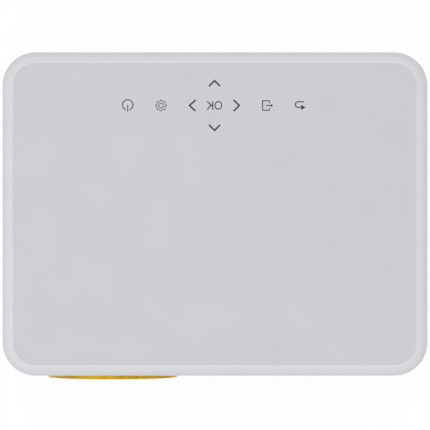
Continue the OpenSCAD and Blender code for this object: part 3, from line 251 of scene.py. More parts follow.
def fit(piece, finish, body="case", node=None, angle=35):
    """Smooths a shaped piece where it turns less than the angle, with its wide faces flat, gives
    it its finish and the body that it rides on, and hides the solid that it stands for."""
    if angle:
        take(piece)
        bpy.ops.object.shade_smooth_by_angle(angle=radians(angle))
        worked(piece, "WEIGHTED_NORMAL", keep_sharp=True, weight=100)
    piece.data.materials.clear()
    piece.data.materials.append(finish)
    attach(piece, body)
    if node:
        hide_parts(node)


# ---- Finishes ----

# How broad the soft patches in colour and gloss are, how round a metal edge looks and how deep
# the fine relief of metal is, in millimetres.
FLOW_MARKS, GLOSS_PATCHES, METAL_PATCHES, METAL_EDGE, METAL_RELIEF = 22, 3, 5, 0.12, 0.004
MOSTLY_FROM, MOSTLY_TO = 0.3, 0.7  # most of a noise pattern lies between these


def paint(colour):
    """A colour in screen values from 0 to 255, as the shader's linear numbers."""
    def linear(v):
        v /= 255
        return v / 12.92 if v <= 0.04045 else ((v + 0.055) / 1.055) ** 2.4
    return (*(linear(v) for v in colour), 1.0)


def shades(colour, shade):
    """The colour a little darker, and a little lighter."""
    return [max(0, c - shade) for c in colour], [min(255, c + shade) for c in colour]


def shader_of(finish):
    return finish.node_tree.nodes["Principled BSDF"]


def dial(node, **values):
    """Sets the input sockets of a node."""
    for socket, value in values.items():
        node.inputs[socket.replace("_", " ")].default_value = value


def surface(name, colour, rough, metal=0.0, **values):
    """A surface whose plain values sit on the shader itself."""
    finish = bpy.data.materials.new(name)
    finish.use_nodes = True
    dial(shader_of(finish), Base_Color=paint(colour), Roughness=rough, Metallic=metal, **values)
    return finish


def add(owner, kind, **settings):
    """A node in a material or world. A setting with a capital letter is one of its sockets."""
    node = owner.node_tree.nodes.new("ShaderNode" + kind)
    for key, value in settings.items():
        if key[0].isupper():
            dial(node, **{key: value})
        else:
            setattr(node, key, value)
    return node


def wire(source, target):
    target.id_data.links.new(source, target)


def place_on(finish, stretch=(1, 1, 1), middle=(0, 0, 0)):
    """The piece's own coordinates in millimetres from a middle, stretched along its axes."""
    mapping = add(finish, "Mapping", Location=[-m * s for m, s in zip(middle, stretch)],
                  Scale=[s / MM for s in stretch])
    wire(add(finish, "TexCoord").outputs["Object"], mapping.inputs["Vector"])
    return mapping.outputs["Vector"]


def noise(finish, size, detail, stretch=(1, 1, 1)):
    """Soft random pattern with features of this size in millimetres."""
    node = add(finish, "TexNoise", Scale=1 / size, Detail=detail)
    wire(place_on(finish, stretch), node.inputs["Vector"])
    return node.outputs["Fac"]


def cell_walls(finish, size, stretch=(1, 1, 1)):
    """Cells of this size, as the distance to their walls."""
    node = add(finish, "TexVoronoi", feature="DISTANCE_TO_EDGE", Scale=1 / size)
    wire(place_on(finish, stretch), node.inputs["Vector"])
    return node.outputs["Distance"]


def outwards(finish, operation):
    """The way from the lens axis outwards, as its length or its direction."""
    node = add(finish, "VectorMath", operation=operation)
    wire(place_on(finish, (1, 0, 1), (LENS_X, 0, LENS_Z)), node.inputs[0])
    return node.outputs


def reckon(finish, operation, first, second=None):
    """One step of arithmetic on outputs, or on an output and a number."""
    node = add(finish, "Math", operation=operation)
    wire(first, node.inputs[0])
    if isinstance(second, float):
        node.inputs[1].default_value = second
    elif second:
        wire(second, node.inputs[1])
    return node.outputs[0]


def rings(finish, pitch):
    """Fine rings round the lens axis, as a lathe tool leaves them."""
    radius = outwards(finish, "LENGTH")["Value"]
    return reckon(finish, "SINE", reckon(finish, "MULTIPLY", radius, WHOLE_TURN / pitch))


def gleams(finish, share):
    """Soft random bands that run out from the lens axis, as broad as this share of the radius.
    Laid into a base colour they are painted highlight streaks.
    """
    node = add(finish, "TexNoise", Scale=1 / share, Detail=2)
    wire(outwards(finish, "NORMALIZE")["Vector"], node.inputs["Vector"])
    return node.outputs["Fac"]


def tint(finish, pattern, first, second, low=MOSTLY_FROM, high=MOSTLY_TO):
    """Base colour between two colours, by the pattern."""
    ramp = add(finish, "ValToRGB")
    for stop, at, colour in zip(ramp.color_ramp.elements, (low, high), (first, second)):
        stop.position = at
        stop.color = paint(colour)
    wire(pattern, ramp.inputs["Fac"])
    wire(ramp.outputs["Color"], shader_of(finish).inputs["Base Color"])


def vary(finish, pattern, low, high):
    """Roughness between two values, by the pattern."""
    spread = add(finish, "MapRange", From_Min=MOSTLY_FROM, From_Max=MOSTLY_TO, To_Min=low,
                 To_Max=high)
    wire(pattern, spread.inputs["Value"])
    wire(spread.outputs["Result"], shader_of(finish).inputs["Roughness"])


def emboss(finish, pattern, depth):
    """Relief of this depth in millimetres, laid over the relief that is there already."""
    normal = shader_of(finish).inputs["Normal"]
    bump = add(finish, "Bump", Strength=1.0, Distance=depth * MM)
    wire(pattern, bump.inputs["Height"])
    if normal.links:
        wire(normal.links[0].from_socket, bump.inputs["Normal"])
    wire(bump.outputs["Normal"], normal)


def soften(finish, radius):
    """Rounds the look of the solids' sharp edges a little, as a mould does."""
    edge = add(finish, "Bevel", samples=4, Radius=radius * MM)
    wire(edge.outputs["Normal"], shader_of(finish).inputs["Normal"])


def moulded(name, colour, rough, shade=3, grain=0.35, depth=0.006, edge=0.15, **values):
    """Moulded plastic: spark-eroded grain, faint flow marks and slightly uneven gloss."""
    finish = surface(name, colour, rough, **values)
    soften(finish, edge)
    tint(finish, noise(finish, FLOW_MARKS, 4), *shades(colour, shade))
    vary(finish, noise(finish, GLOSS_PATCHES, 4), rough - 0.04, rough + 0.05)
    emboss(finish, noise(finish, grain, 2), depth)
    return finish


def metallic(name, colour, rough, stretch=(1, 1, 1), grain=0.4, shade=8):
    """Metal with fine lines along the stretched axis and a little unevenness in its sheen."""
    finish = surface(name, colour, rough, 1.0)
    soften(finish, METAL_EDGE)
    tint(finish, noise(finish, METAL_PATCHES, 3, stretch), *shades(colour, shade))
    vary(finish, noise(finish, grain, 3, stretch), rough - 0.06, rough + 0.08)
    emboss(finish, noise(finish, grain, 2, stretch), METAL_RELIEF)
    return finish


white_moulding = moulded("white_moulding", (219, 219, 223), 0.42, shade=1, grain=0.4)
plate_lacquer = moulded("plate_lacquer", (207, 206, 211), 0.38, shade=1, grain=0.25, depth=0.002)
grille_moulding = moulded("grille_moulding", (205, 205, 208), 0.5, shade=2)
panel_moulding = moulded("panel_moulding", (150, 150, 155), 0.52)
black_moulding = moulded("black_moulding", (30, 30, 32), 0.48, shade=4)
tray_moulding = moulded("tray_moulding", (34, 34, 36), 0.4, grain=0.3)
engine_moulding = moulded("engine_moulding", (46, 46, 49), 0.6, shade=6, grain=0.6, depth=0.01)
natural_plastic = moulded("natural_plastic", (226, 225, 218), 0.36, grain=0.5,
                          Subsurface_Weight=0.1)
foot_rubber = moulded("foot_rubber", (36, 36, 37), 0.82, shade=5, grain=0.7, depth=0.02)
key_ink = moulded("key_ink", (62, 62, 64), 0.55, grain=0.2, depth=0.003, edge=0.02)
smoked_window = moulded("smoked_window", (16, 8, 14), 0.16, depth=0.0005)
lamp_lens = moulded("lamp_lens", (92, 190, 96), 0.2, shade=8, depth=0.001)
sleeve = moulded("capacitor_sleeve", (24, 30, 92), 0.22, shade=4, depth=0.002)
tape = moulded("transformer_tape", (204, 168, 52), 0.4, shade=10, grain=1.2, depth=0.01)
paper = moulded("cone_paper", (26, 26, 27), 0.9, shade=8, grain=0.8, depth=0.05)
bare_aluminium = metallic("bare_aluminium", (200, 202, 205), 0.36, (1, 1, 0.05))
plated_sheet = metallic("plated_sheet", (184, 186, 189), 0.34, grain=2.0, shade=4)
ground_steel = metallic("ground_steel", (196, 197, 199), 0.2, (0.1, 0.1, 1))
reflector = metallic("light_cup_metal", (214, 215, 217), 0.12)
insert_brass = metallic("insert_brass", (212, 178, 100), 0.28)
contact_gold = metallic("contact_gold", (226, 192, 112), 0.22)
winding_copper = metallic("winding_copper", (178, 96, 52), 0.3, grain=0.3)


def make_foam():
    """Open reticulated foam drawn on a flat sheet: cells painted dark as the shade inside the open
    pores, with thin lighter walls.
    """
    finish = surface("filter_foam", (46, 46, 50), 0.95)
    walls = cell_walls(finish, 1.1)
    # painted shade: the middles of the cells are near black, for the shade deep in the pores
    tint(finish, walls, (70, 70, 75), (14, 14, 16), 0.05, 0.3)
    emboss(finish, walls, -0.5)
    return finish


def make_board():
    """Solder mask over copper tracks: raised tracks show lighter."""
    finish = surface("solder_mask", (18, 92, 52), 0.35, Coat_Weight=0.3)
    tracks = cell_walls(finish, 3.4, (1, 1, 0))
    tint(finish, tracks, (34, 122, 72), (14, 84, 46), 0.05, 0.09)
    emboss(finish, tracks, -0.03)
    emboss(finish, noise(finish, 0.8, 2), 0.004)
    return finish


def make_gilt():
    """Turned and gilt aluminium: lathe rings, gloss that changes in narrow bands round it, and
    painted highlight streaks, where the base colour is lighter and darker in narrow radial bands.
    """
    finish = surface("turned_gilt", (193, 152, 26), 0.32, 1.0)
    # painted highlight: radial bands of lighter and darker gold stand in for the streaks of
    # reflected lamps
    tint(finish, gleams(finish, 0.12), (182, 140, 12), (202, 162, 40), 0.35, 0.7)
    vary(finish, gleams(finish, 0.045), 0.24, 0.36)
    emboss(finish, rings(finish, 0.24), 0.003)
    emboss(finish, noise(finish, 0.3, 2), 0.0015)
    return finish


def make_coated_glass(name, colour, film):
    """Clear glass with an anti-reflection film, and faint specks of dust."""
    finish = surface(name, colour, 0.02, Transmission_Weight=1.0, IOR=1.52,
                     Thin_Film_Thickness=film, Thin_Film_IOR=1.38)
    vary(finish, noise(finish, 1.6, 5), 0.0, 0.05)
    emboss(finish, noise(finish, 9, 2), 0.001)
    return finish


mark_white = moulded("mark_white", (228, 228, 228), 0.5, shade=2, grain=0.2, edge=0.02)
chip_epoxy = moulded("chip_epoxy", (27, 27, 29), 0.55, grain=0.2, edge=0.05)
ferrite = moulded("ferrite", (58, 56, 56), 0.7, shade=6, grain=0.5, depth=0.02)
plug_nylon = moulded("plug_nylon", (232, 228, 214), 0.42, Subsurface_Weight=0.1)
solder_tin = metallic("solder_tin", (188, 190, 194), 0.3, grain=0.5, shade=6)
basket_lacquer = moulded("basket_lacquer", (36, 36, 38), 0.4, grain=0.5, edge=0.08)
filter_foam = make_foam()
solder_mask = make_board()
turned_gilt = make_gilt()
lens_glass = make_coated_glass("coated_glass", (250, 252, 255), 430)
panel_glass = make_coated_glass("panel_glass", (120, 126, 136), 0)

# The finish of each solid.
NODE_FINISHES = {
    white_moulding: ["lower_shell", "upper_shell", "tray_bezel", "eject_button"],
    plate_lacquer: ["top_panel"],
    grille_moulding: ["front_grille", "side_grille"],
    panel_moulding: ["rear_panel"],
    turned_gilt: ["lens_bezel"],
    smoked_window: ["ir_window"],
    filter_foam: ["dust_filter"],
    black_moulding: ["lens_tube", "focus_ring", "exhaust_fan_frame", "intake_fan_frame",
                     "exhaust_rotor", "intake_rotor", "audio_jacks", "ac_inlet", "foot_screw"],
    tray_moulding: ["disc_tray"],
    engine_moulding: ["lens_mount", "engine_case", "engine_cover"],
    lens_glass: ["lens_glass", "condenser_lens", "fresnel_front", "fresnel_rear", "pickup_lens"],
    panel_glass: ["lcd_panel"],
    reflector: ["light_cup"],
    bare_aluminium: ["heat_sink", "chip_heat_sink", "led_module"],
    plated_sheet: ["chassis_bracket", "drive_pan", "drive_lid", "mid_rails", "spindle_base",
                   "sled_motor", "pickup_sled", "video_socket", "data_sockets"],
    basket_lacquer: ["speaker_baskets"],
    ground_steel: ["pickup_rods", "lead_screw", "case_screws", "board_screws"],
    natural_plastic: ["drive_rails", "spindle_hub"],
    paper: ["speaker_cones"],
    solder_mask: ["main_board", "power_board", "touch_board"],
    tape: ["power_transformer"],
    sleeve: ["power_capacitors"],
    insert_brass: ["tripod_insert"],
    foot_rubber: ["rubber_feet", "foot_pad"],
}


def finish_solids():
    """Each solid of the frame gets its finish."""
    for finish, names in NODE_FINISHES.items():
        for name in names:
            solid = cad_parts[name]
            if not solid.material_slots:
                solid.data.materials.append(finish)
            for slot in solid.material_slots:
                slot.material = finish


# ---- Printed key symbols on the top plate ----

KEY_ROW_Y = 59.65
FINE, THIN, LETTER, BOLD = 0.43, 0.55, 0.64, 0.94


def stroke(start, end, width):
    """A printed line with round ends, between two points of the plate."""
    along = Vector(end) - Vector(start)
    line = drum("stroke", (0, 0, PLATE_TOP + PRINT_HEIGHT / 2), width / 2, PRINT_HEIGHT, "Z", 16)
    open_up(line, "VERT")
    pick(line, lambda p: p.x > 0.001)
    bpy.ops.transform.translate(value=(along.length * MM, 0, 0))
    let_go()
    turn = Matrix.Rotation(atan2(along.y, along.x), 4, "Z")
    return moved(line, Matrix.Translation((start[0] * MM, start[1] * MM, 0)) @ turn)


def printed_path(points, width):
    """Round-ended lines from point to point, fused into one print."""
    print_piece = stroke(points[0], points[1], width)
    for start, end in zip(points[1:], points[2:]):
        combine(print_piece, stroke(start, end, width), "UNION")
    return print_piece


def printed_ring(x, y, radius, width):
    """A printed circle line."""
    inner, outer = radius - width / 2, radius + width / 2
    low, high = PLATE_TOP, PLATE_TOP + PRINT_HEIGHT
    return turned("ring", (x, y, 0), "Z",
                  [(inner, low), (outer, low), (outer, high), (inner, high)], 64)


def power_symbol():
    """Ring open towards the front, with a bar in the opening."""
    x, y, radius = -47.12, 59.97, 2.82
    ring = printed_ring(x, y, radius, THIN)
    combine(ring, block("gap", (x - 1.0, y - 4, PLATE_TOP - 1), (x + 1.0, y, PLATE_TOP + 1)))
    combine(ring, stroke((x, y - 0.35), (x, y - 3.5), THIN), "UNION")
    return ring


def gear_symbol():
    """Outline of a wheel with eight lobes round a small circle."""
    x, y, radius, lobes = -29.15, KEY_ROW_Y, 2.62, 8
    middle = Vector((x, y, PLATE_TOP)) * MM
    let_go()
    bpy.ops.mesh.primitive_circle_add(vertices=96, radius=radius * MM, fill_type="NGON",
                                      location=middle)
    gear = settle("gear")
    open_up(gear, "VERT")
    for reach, grow in ((0.35, 1.08), (0.1, 1.06), (-0.15, 1.04)):
        bpy.ops.mesh.select_all(action="DESELECT")
        pick(gear, lambda p: cos(lobes * atan2(p.y - y, p.x - x)) > reach)
        bpy.ops.transform.resize(value=(grow, grow, 1), center_override=middle)
    pick_all()
    bpy.ops.mesh.extrude_region_move(TRANSFORM_OT_translate={"value": (0, 0, PRINT_HEIGHT * MM)})
    pick_all()
    bpy.ops.mesh.normals_make_consistent(inside=False)
    let_go()
    there = Matrix.Translation(Vector((x, y, PLATE_TOP + PRINT_HEIGHT / 2)) * MM)
    inner = Matrix.Diagonal((0.845, 0.845, 3, 1))
    combine(gear, copy_to(gear, there @ inner @ there.inverted()))
    return joined([gear, printed_ring(x, y, 1.3, FINE)])


def arrow_symbols():
    """Four chevrons round the middle key: left, right, up and down."""
    x, y, reach, half = -0.22, KEY_ROW_Y, 2.8, 2.76
    lines = [[(-10.75, y + half), (-13.75, y), (-10.75, y - half)],
             [(10.32, y + half), (13.15, y), (10.32, y - half)],
             [(x - half, 73.1 - reach), (x, 73.1), (x + half, 73.1 - reach)],
             [(x - half, 46.2 + reach), (x, 46.2), (x + half, 46.2 + reach)]]
    return [printed_path(line, BOLD) for line in lines]


def ok_symbol():
    """The letters of the middle key, which read from the rear."""
    x, y, wide, tall = 1.84, KEY_ROW_Y + 0.08, 2.08, 2.34
    letter_o = printed_ring(x, y, tall - LETTER / 2, LETTER)
    open_up(letter_o)
    pick_all()
    bpy.ops.transform.resize(value=(wide / tall, 1, 1), center_override=(x * MM, y * MM, 0))
    let_go()
    y = KEY_ROW_Y
    letter_k = stroke((-1.25, y + 2.0), (-1.25, y - 2.0), LETTER)
    combine(letter_k, stroke((-1.3, y - 0.5), (-4.0, y + 2.0), LETTER), "UNION")
    combine(letter_k, stroke((-2.2, y + 0.45), (-3.9, y - 2.05), LETTER), "UNION")
    return joined([letter_o, letter_k])


def arrow_head(tip, length, half):
    """A filled arrow head that points to the right."""
    head = block("head", (tip[0] - length, tip[1] - half, PLATE_TOP),
                 (tip[0], tip[1] + half, PLATE_TOP + PRINT_HEIGHT))
    open_up(head, "VERT")
    pick(head, lambda p: p.x > tip[0] - 0.01)
    bpy.ops.transform.resize(value=(1, 0.04, 1))
    let_go()
    return head


def exit_symbol():
    """A box open on the right, with an arrow out of it."""
    y = KEY_ROW_Y
    box = printed_path([(29.4, y + 1.5), (29.4, y + 2.55), (25.75, y + 2.55), (25.75, y - 2.55),
                        (29.4, y - 2.55), (29.4, y - 1.5)], THIN)
    arrow = stroke((27.6, y), (30.3, y), THIN)
    return joined([box, combine(arrow, arrow_head((31.35, y), 1.15, 0.95), "UNION")])


def return_symbol():
    """A line that turns back and ends in an arrow."""
    y = KEY_ROW_Y + 0.5
    bend = printed_ring(44.95, y, 1.5, LETTER)
    combine(bend, block("half", (45.05, y - 3, PLATE_TOP - 1), (48, y + 3, PLATE_TOP + 1)))
    combine(bend, stroke((44.95, y + 1.5), (48.0, y + 1.5), LETTER), "UNION")
    combine(bend, stroke((44.95, y - 1.5), (46.8, y - 1.5), LETTER), "UNION")
    return combine(bend, arrow_head((48.9, y - 1.5), 2.4, 1.45), "UNION")


def print_key_symbols():
    """The nine symbols, each a piece of its own."""
    left, right, up, down = arrow_symbols()
    prints = {"power_print": power_symbol(), "setup_print": gear_symbol(), "left_print": left,
              "right_print": right, "up_print": up, "down_print": down, "ok_print": ok_symbol(),
              "source_print": exit_symbol(), "back_print": return_symbol()}
    for name, piece in prints.items():
        piece.name = piece.data.name = name
        fit(piece, key_ink, angle=None)


# ---- Case and lens ----

def make_touch_plate():
    """The top plate: flat, and swept up round its rim to meet the shell without a gap."""
    low, high = corners("top_panel")
    close, sweep, rise, rows, corner = 0.1, 0.9, 0.15, 4, 11.8
    plate = slab("touch_plate", (low.x - close, low.y - close, low.z),
                 (high.x + close, high.y + close, PLATE_TOP + rise), "Z", corner, 20)
    open_up(plate)
    pick(plate, lambda middle, normal: normal.z > 0.9)
    for k in range(rows):
        bpy.ops.mesh.inset(thickness=sweep / rows * MM, use_even_offset=True)
        drop = rise * (cos(pi * k / rows) - cos(pi * (k + 1) / rows)) / 2
        bpy.ops.transform.translate(value=(0, 0, -drop * MM))
    let_go()
    fit(plate, plate_lacquer, node="top_panel")


def make_gilt_bezel():
    """Turned lens ring: spigot, stepped throat, two cut grooves and a polished outer edge."""
    front, back, face = FRONT_Y - 2.1, FRONT_Y + 3.3, FRONT_Y
    throat = [(27.0, back), (27.0, front + 2.0), (27.5, front + 1.5), (27.5, front + 1.35),
              (28.1, front + 0.8), (28.1, front + 0.65), (28.75, front)]
    grooves = []
    for r in (30.1, 33.4):
        grooves += [(r - 0.18, front), (r, front + 0.2), (r + 0.18, front)]
    edge = [(34.9 + 0.6 * sin(a), front + 0.6 - 0.6 * cos(a))
            for a in (pi / 2 * k / 5 for k in range(6))]
    seat = [(35.5, face), (32.5, face), (32.5, back)]
    ring = turned("gilt_bezel", (LENS_X, 0, LENS_Z), "Y", throat + grooves + edge + seat, 160)
    fit(ring, turned_gilt, node="lens_bezel", angle=28)


def make_focus_grip():
    """Focus ring: chamfered front lip with drilled finger dimples and a white index dot."""
    front, back = (corner.y for corner in corners("focus_ring"))
    profile = [(23.7, front), (26.2, front), (26.6, front + 0.4), (26.6, front + 4.3),
               (29.0, front + 4.3), (29.0, front + 6.3), (26.6, front + 6.3), (26.6, back),
               (25.0, back), (25.0, front + 3.0), (23.4, front + 3.0), (23.4, front + 0.3)]
    grip = turned("focus_grip", (LENS_X, 0, LENS_Z), "Y", profile, 144)
    dimple = drum("dimple", (LENS_X + 25.1, front, LENS_Z), 0.55, 1.6, "Y", 12)
    combine(grip, round_about(dimple, (LENS_X, front, LENS_Z), "Y", 36))
    fit(grip, black_moulding, "focus_wheel", node="focus_ring")
    dot = turned("index_dot", (LENS_X, front, LENS_Z + 24.4), "Y",
                 [(0, 0.1), (0.5, 0.1), (0.5, -0.02), (0, -0.02)], 24)
    fit(dot, mark_white, "focus_wheel")


def make_baffle_steps():
    """Fine dark steps in the mouth of the lens tube, which stop stray light."""
    front = corners("lens_tube")[0].y
    rim, throat, depth, count = 22.35, 20.05, 3.0, 6
    profile = [(rim + 0.3, front + 0.15)]
    for k in range(count):
        r = rim - (rim - throat) * k / count
        y = front + 0.15 + depth * k / count
        profile += [(r - 0.2, y), (r - 0.2, y + depth / count * 0.8)]
    profile += [(throat - 0.15, front + depth + 0.05), (throat - 0.15, front + depth + 0.3),
                (throat + 0.4, front + depth + 0.3)]
    steps = turned("baffle_steps", (LENS_X, 0, LENS_Z), "Y", profile, 120)
    fit(steps, black_moulding, "lens", angle=25)


def make_receiver_window():
    """Infrared window: a dark domed button in the front wall."""
    low, high = corners("ir_window")
    middle = (low + high) / 2
    front, back, nose = low.y, high.y, (high.z - low.z) / 2
    profile = [(0, back), (nose, back), (nose, back - 1.0), (2.9, back - 1.0), (2.9, front + 0.45),
               (2.72, front + 0.28), (2.4, front + 0.3), (2.3, front + 0.2), (1.6, front + 0.07),
               (0.8, front + 0.02), (0, front)]
    window = turned("receiver_window", (middle.x, 0, middle.z), "Y", profile, 48)
    fit(window, smoked_window, node="ir_window")


def slotted_insert(name, low, high):
    """A window insert that faces the front: a flange behind, and slots with rounded edges."""
    rim, step, gap, count, margin, half = 2.0, 1.2, 0.12, 12, 5, 0.9
    panel = slab(name, (low[0] + rim + gap, low[1], low[2] + rim + gap),
                 (high[0] - rim - gap, high[1] - step / 2, high[2] - rim - gap), "Y", 5.9)
    combine(panel, slab("flange", (low[0], high[1] - step, low[2]), high, "Y", 8), "UNION")
    first, last = low[2] + rim + margin, high[2] - rim - margin
    slot = slab("slot", (low[0] + rim + margin, low[1] - 3, first - half),
                (high[0] - rim - margin, high[1] + 3, first + half), "Y", half - 0.02, 6)
    rises = [(0, 0, (last - first) * k / (count - 1)) for k in range(1, count)]
    combine(panel, shifted(slot, rises))
    return eased(panel, 0.28, 3, 40)


def slotted_inserts():
    """Speaker grille in the front and intake grille in the left side."""
    low, high = corners("front_grille")
    speaker = slotted_insert("speaker_grille", low, high)
    fit(speaker, grille_moulding, node="front_grille", angle=30)
    low, high = corners("side_grille")
    intake = slotted_insert("intake_grille", (-high.y, low.x, low.z), (-low.y, high.x, high.z))
    intake = moved(intake, Matrix.Rotation(-pi / 2, 4, "Z"))
    fit(intake, grille_moulding, node="side_grille", angle=30)


# ---- Disc tray ----

TRAY_Z = 23.6
EJECT_Y, LAMP_Y, PIN_Y = -38.95, -26.95, -50.95
KEY_HALF, KEY_TALL_HALF = 4.5, 1.8


def make_tray_front():
    """Front of the tray: soft corners and openings for key, lamp and emergency pin."""
    low, high = corners("tray_bezel")
    front = slab("tray_front", low, high, "X", 1.5, 6)
    combine(front, slab("key_hole", (low.x - 1, EJECT_Y - KEY_HALF, TRAY_Z - KEY_TALL_HALF),
                        (high.x + 1, EJECT_Y + KEY_HALF, TRAY_Z + KEY_TALL_HALF), "X", 0.9, 5))
    combine(front, drum("lamp_hole", (high.x, LAMP_Y, TRAY_Z), 0.8, 20, "X", 24))
    combine(front, drum("pin_hole", (high.x, PIN_Y, TRAY_Z), 0.6, 20, "X", 24))
    eased(front, 0.25, 3, 40)
    fit(front, white_moulding, "tray", node="tray_bezel")


def make_eject_mark():
    """Printed mark on the eject key: a triangle over a bar."""
    x = corners("eject_button")[1].x
    arrow = block("eject_mark", (x - 0.2, EJECT_Y - 1.0, TRAY_Z - 0.25),
                  (x + 0.02, EJECT_Y + 1.0, TRAY_Z + 0.85))
    open_up(arrow, "VERT")
    pick(arrow, lambda p: p.z > TRAY_Z + 0.5)
    bpy.ops.transform.resize(value=(1, 0.05, 1))
    let_go()
    bar = block("bar", (x - 0.2, EJECT_Y - 1.0, TRAY_Z - 0.85),
                (x + 0.02, EJECT_Y + 1.0, TRAY_Z - 0.5))
    fit(joined([arrow, bar]), key_ink, "button", angle=None)


def make_ready_lamp():
    """Green lamp in the tray's front."""
    x = corners("tray_bezel")[1].x
    lamp = turned("ready_lamp", (x, LAMP_Y, TRAY_Z), "X",
                  [(0, -3), (0.77, -3), (0.77, -0.5), (0.6, -0.3), (0.3, -0.22), (0, -0.2)], 24)
    fit(lamp, lamp_lens, "tray")


def make_disc_pad():
    """Rubber ring on the turntable, which grips the disc."""
    low, high = corners("spindle_hub")
    x, y = ((low + high) / 2).xy
    seat = high.z - 1.8
    pad = turned("disc_pad", (x, y, seat), "Z",
                 [(10.6, -0.2), (13.9, -0.2), (13.9, 0.02), (13.6, 0.06), (10.9, 0.06),
                  (10.6, 0.02)], 72)
    fit(pad, foot_rubber, "hub")
    bpy.ops.mesh.primitive_uv_sphere_add(
        segments=24, ring_count=12, radius=0.75 * MM,
        location=((x + 6.95) * MM, y * MM, (seat + 1.0) * MM))
    balls = round_about(settle("centring_balls"), (x, y, seat), "Z", 3)
    fit(balls, ground_steel, "hub", angle=60)


def make_pickup_hood():
    """Moulded hood round the pickup's lens, with a ring of its own round the glass."""
    low, high = corners("pickup_lens")
    x, y, r = (low.x + high.x) / 2, (low.y + high.y) / 2, (high.x - low.x) / 2
    hood = slab("pickup_hood", *round_spot(x, y, 7, 6, low.z - 0.15, high.z - 0.12), "Z", 2, 6)
    combine(hood, drum("eye", (x, y, low.z), r + 0.35, 4, "Z"))
    combine(hood, slab("wire_slot", (x - 5.8, y - 4.6, low.z - 1), (x - 4.9, y + 4.6, high.z),
                       "Z", 0.4, 4))
    hood = eased(moved(hood, about((x, y, 0), "Z", radians(40))), 0.06)
    fit(hood, black_moulding, "pickup")
    collar = turned("lens_collar", (x, y, low.z), "Z",
                    [(r + 0.05, -0.1), (r + 0.33, -0.1), (r + 0.33, 0.33), (r + 0.2, 0.38),
                     (r + 0.05, 0.3)], 48)
    fit(collar, tray_moulding, "pickup")


def make_tray_shield():
    """Sheet cover under the tray's mechanism: pressed panel, tooling holes and four screws."""
    low, high = corners("disc_tray")
    y, half, thick = (low.y + high.y) / 2, 57.6, 0.25
    shield = slab("tray_shield", (low.x + 0.6, y - half, low.z - thick),
                  (high.x - 0.8, y + half, low.z), "Z", 2.5, 5)
    combine(shield, slab("panel", (low.x + 9, y - half + 8, low.z - 2),
                         (high.x - 9, y + half - 8, low.z - thick + 0.1), "Z", 6, 6))
    for hole_x, hole_y, r in ((8, y - 42, 2.5), (96, y - 42, 2.5), (8, y + 42, 2.5), (14, y, 4)):
        combine(shield, drum("hole", (hole_x, hole_y, low.z), r, 4, "Z", 32))
    fit(shield, plated_sheet, "tray")
    x, edge = low.x + 3.2, half - 3.0
    profile = [(0, 0.1), (1.7, 0.1), (1.7, -0.34), (1.45, -0.42), (0.5, -0.44), (0, -0.44)]
    screw = turned("shield_screws", (x, y - edge, low.z), "Z", profile, 32)
    cross = block("cross", *round_spot(x, y - edge, 0.85, 0.16, low.z - 1, low.z - 0.3))
    cut_crosswise(screw, cross, (x, y - edge, 0))
    across = high.x - low.x - 6.6
    screws = shifted(screw, [(0, 2 * edge, 0), (across, 0, 0), (across, 2 * edge, 0)])
    fit(screws, ground_steel, "tray")


# ---- Rear sockets ----

SOCKETS_X = {"screen": 10, "one": 32, "two": 51, "phones": 69, "signal": 83}
PRINT_Z, INLET_PRINT_Z = 49.6, 71.4
TONGUE_FRONT, CONTACT_BACK = 86.6, 79


def onto_rear(piece, x, z):
    """Carries a print from the middle of the top plate to a place on the rear panel."""
    lower = Matrix.Translation((0, 0, -PLATE_TOP * MM))
    turn = Matrix(((-1, 0, 0, 0), (0, 0, 1, 0), (0, 1, 0, 0), (0, 0, 0, 1)))
    return moved(piece, Matrix.Translation(Vector((x, REAR_Y, z)) * MM) @ turn @ lower)


def phones_print():
    """Head band and two ear pads."""
    band = printed_ring(0, 0, 1.45, FINE)
    combine(band, block("lower", (-3, -3, PLATE_TOP - 1), (3, -0.1, PLATE_TOP + 1)))
    return joined([band, stroke((-1.4, -0.2), (-1.4, -1.0), 0.85),
                   stroke((1.4, -0.2), (1.4, -1.0), 0.85)])


def screen_print():
    """Outline of a screen on its foot."""
    screen = slab("screen", (-2.2, -1.1, PLATE_TOP), (2.2, 1.6, PLATE_TOP + PRINT_HEIGHT), "Z",
                  0.3, 4)
    combine(screen, block("inside", (-1.8, -0.7, PLATE_TOP - 1), (1.8, 1.2, PLATE_TOP + 1)))
    return joined([screen, stroke((-0.9, -1.65), (0.9, -1.65), FINE)])


def print_rear_marks():
    """Small pictures and numbers over the sockets."""
    marks = {
        "screen": screen_print(),
        "one": printed_path([(-0.5, 0.9), (0.1, 1.4), (0.1, -1.4)], FINE),
        "two": printed_path([(-0.8, 0.8), (-0.4, 1.35), (0.4, 1.35), (0.8, 0.75), (-0.8, -1.4),
                             (0.85, -1.4)], FINE),
        "phones": phones_print(),
        "signal": joined([printed_ring(0, 0, 1.35, FINE), stroke((-0.05, 0), (0.05, 0), 0.9)]),
    }
    placed = [onto_rear(mark, SOCKETS_X[key], PRINT_Z) for key, mark in marks.items()]
    wave = printed_path([(-1.7, -0.25), (-1.2, 0.35), (-0.6, 0.35), (0.6, -0.35), (1.2, -0.35),
                         (1.7, 0.25)], FINE)
    placed.append(onto_rear(wave, SOCKETS_X["phones"], INLET_PRINT_Z))
    rear_marks = joined(placed)
    rear_marks.name = "rear_marks"
    fit(rear_marks, mark_white, angle=None)


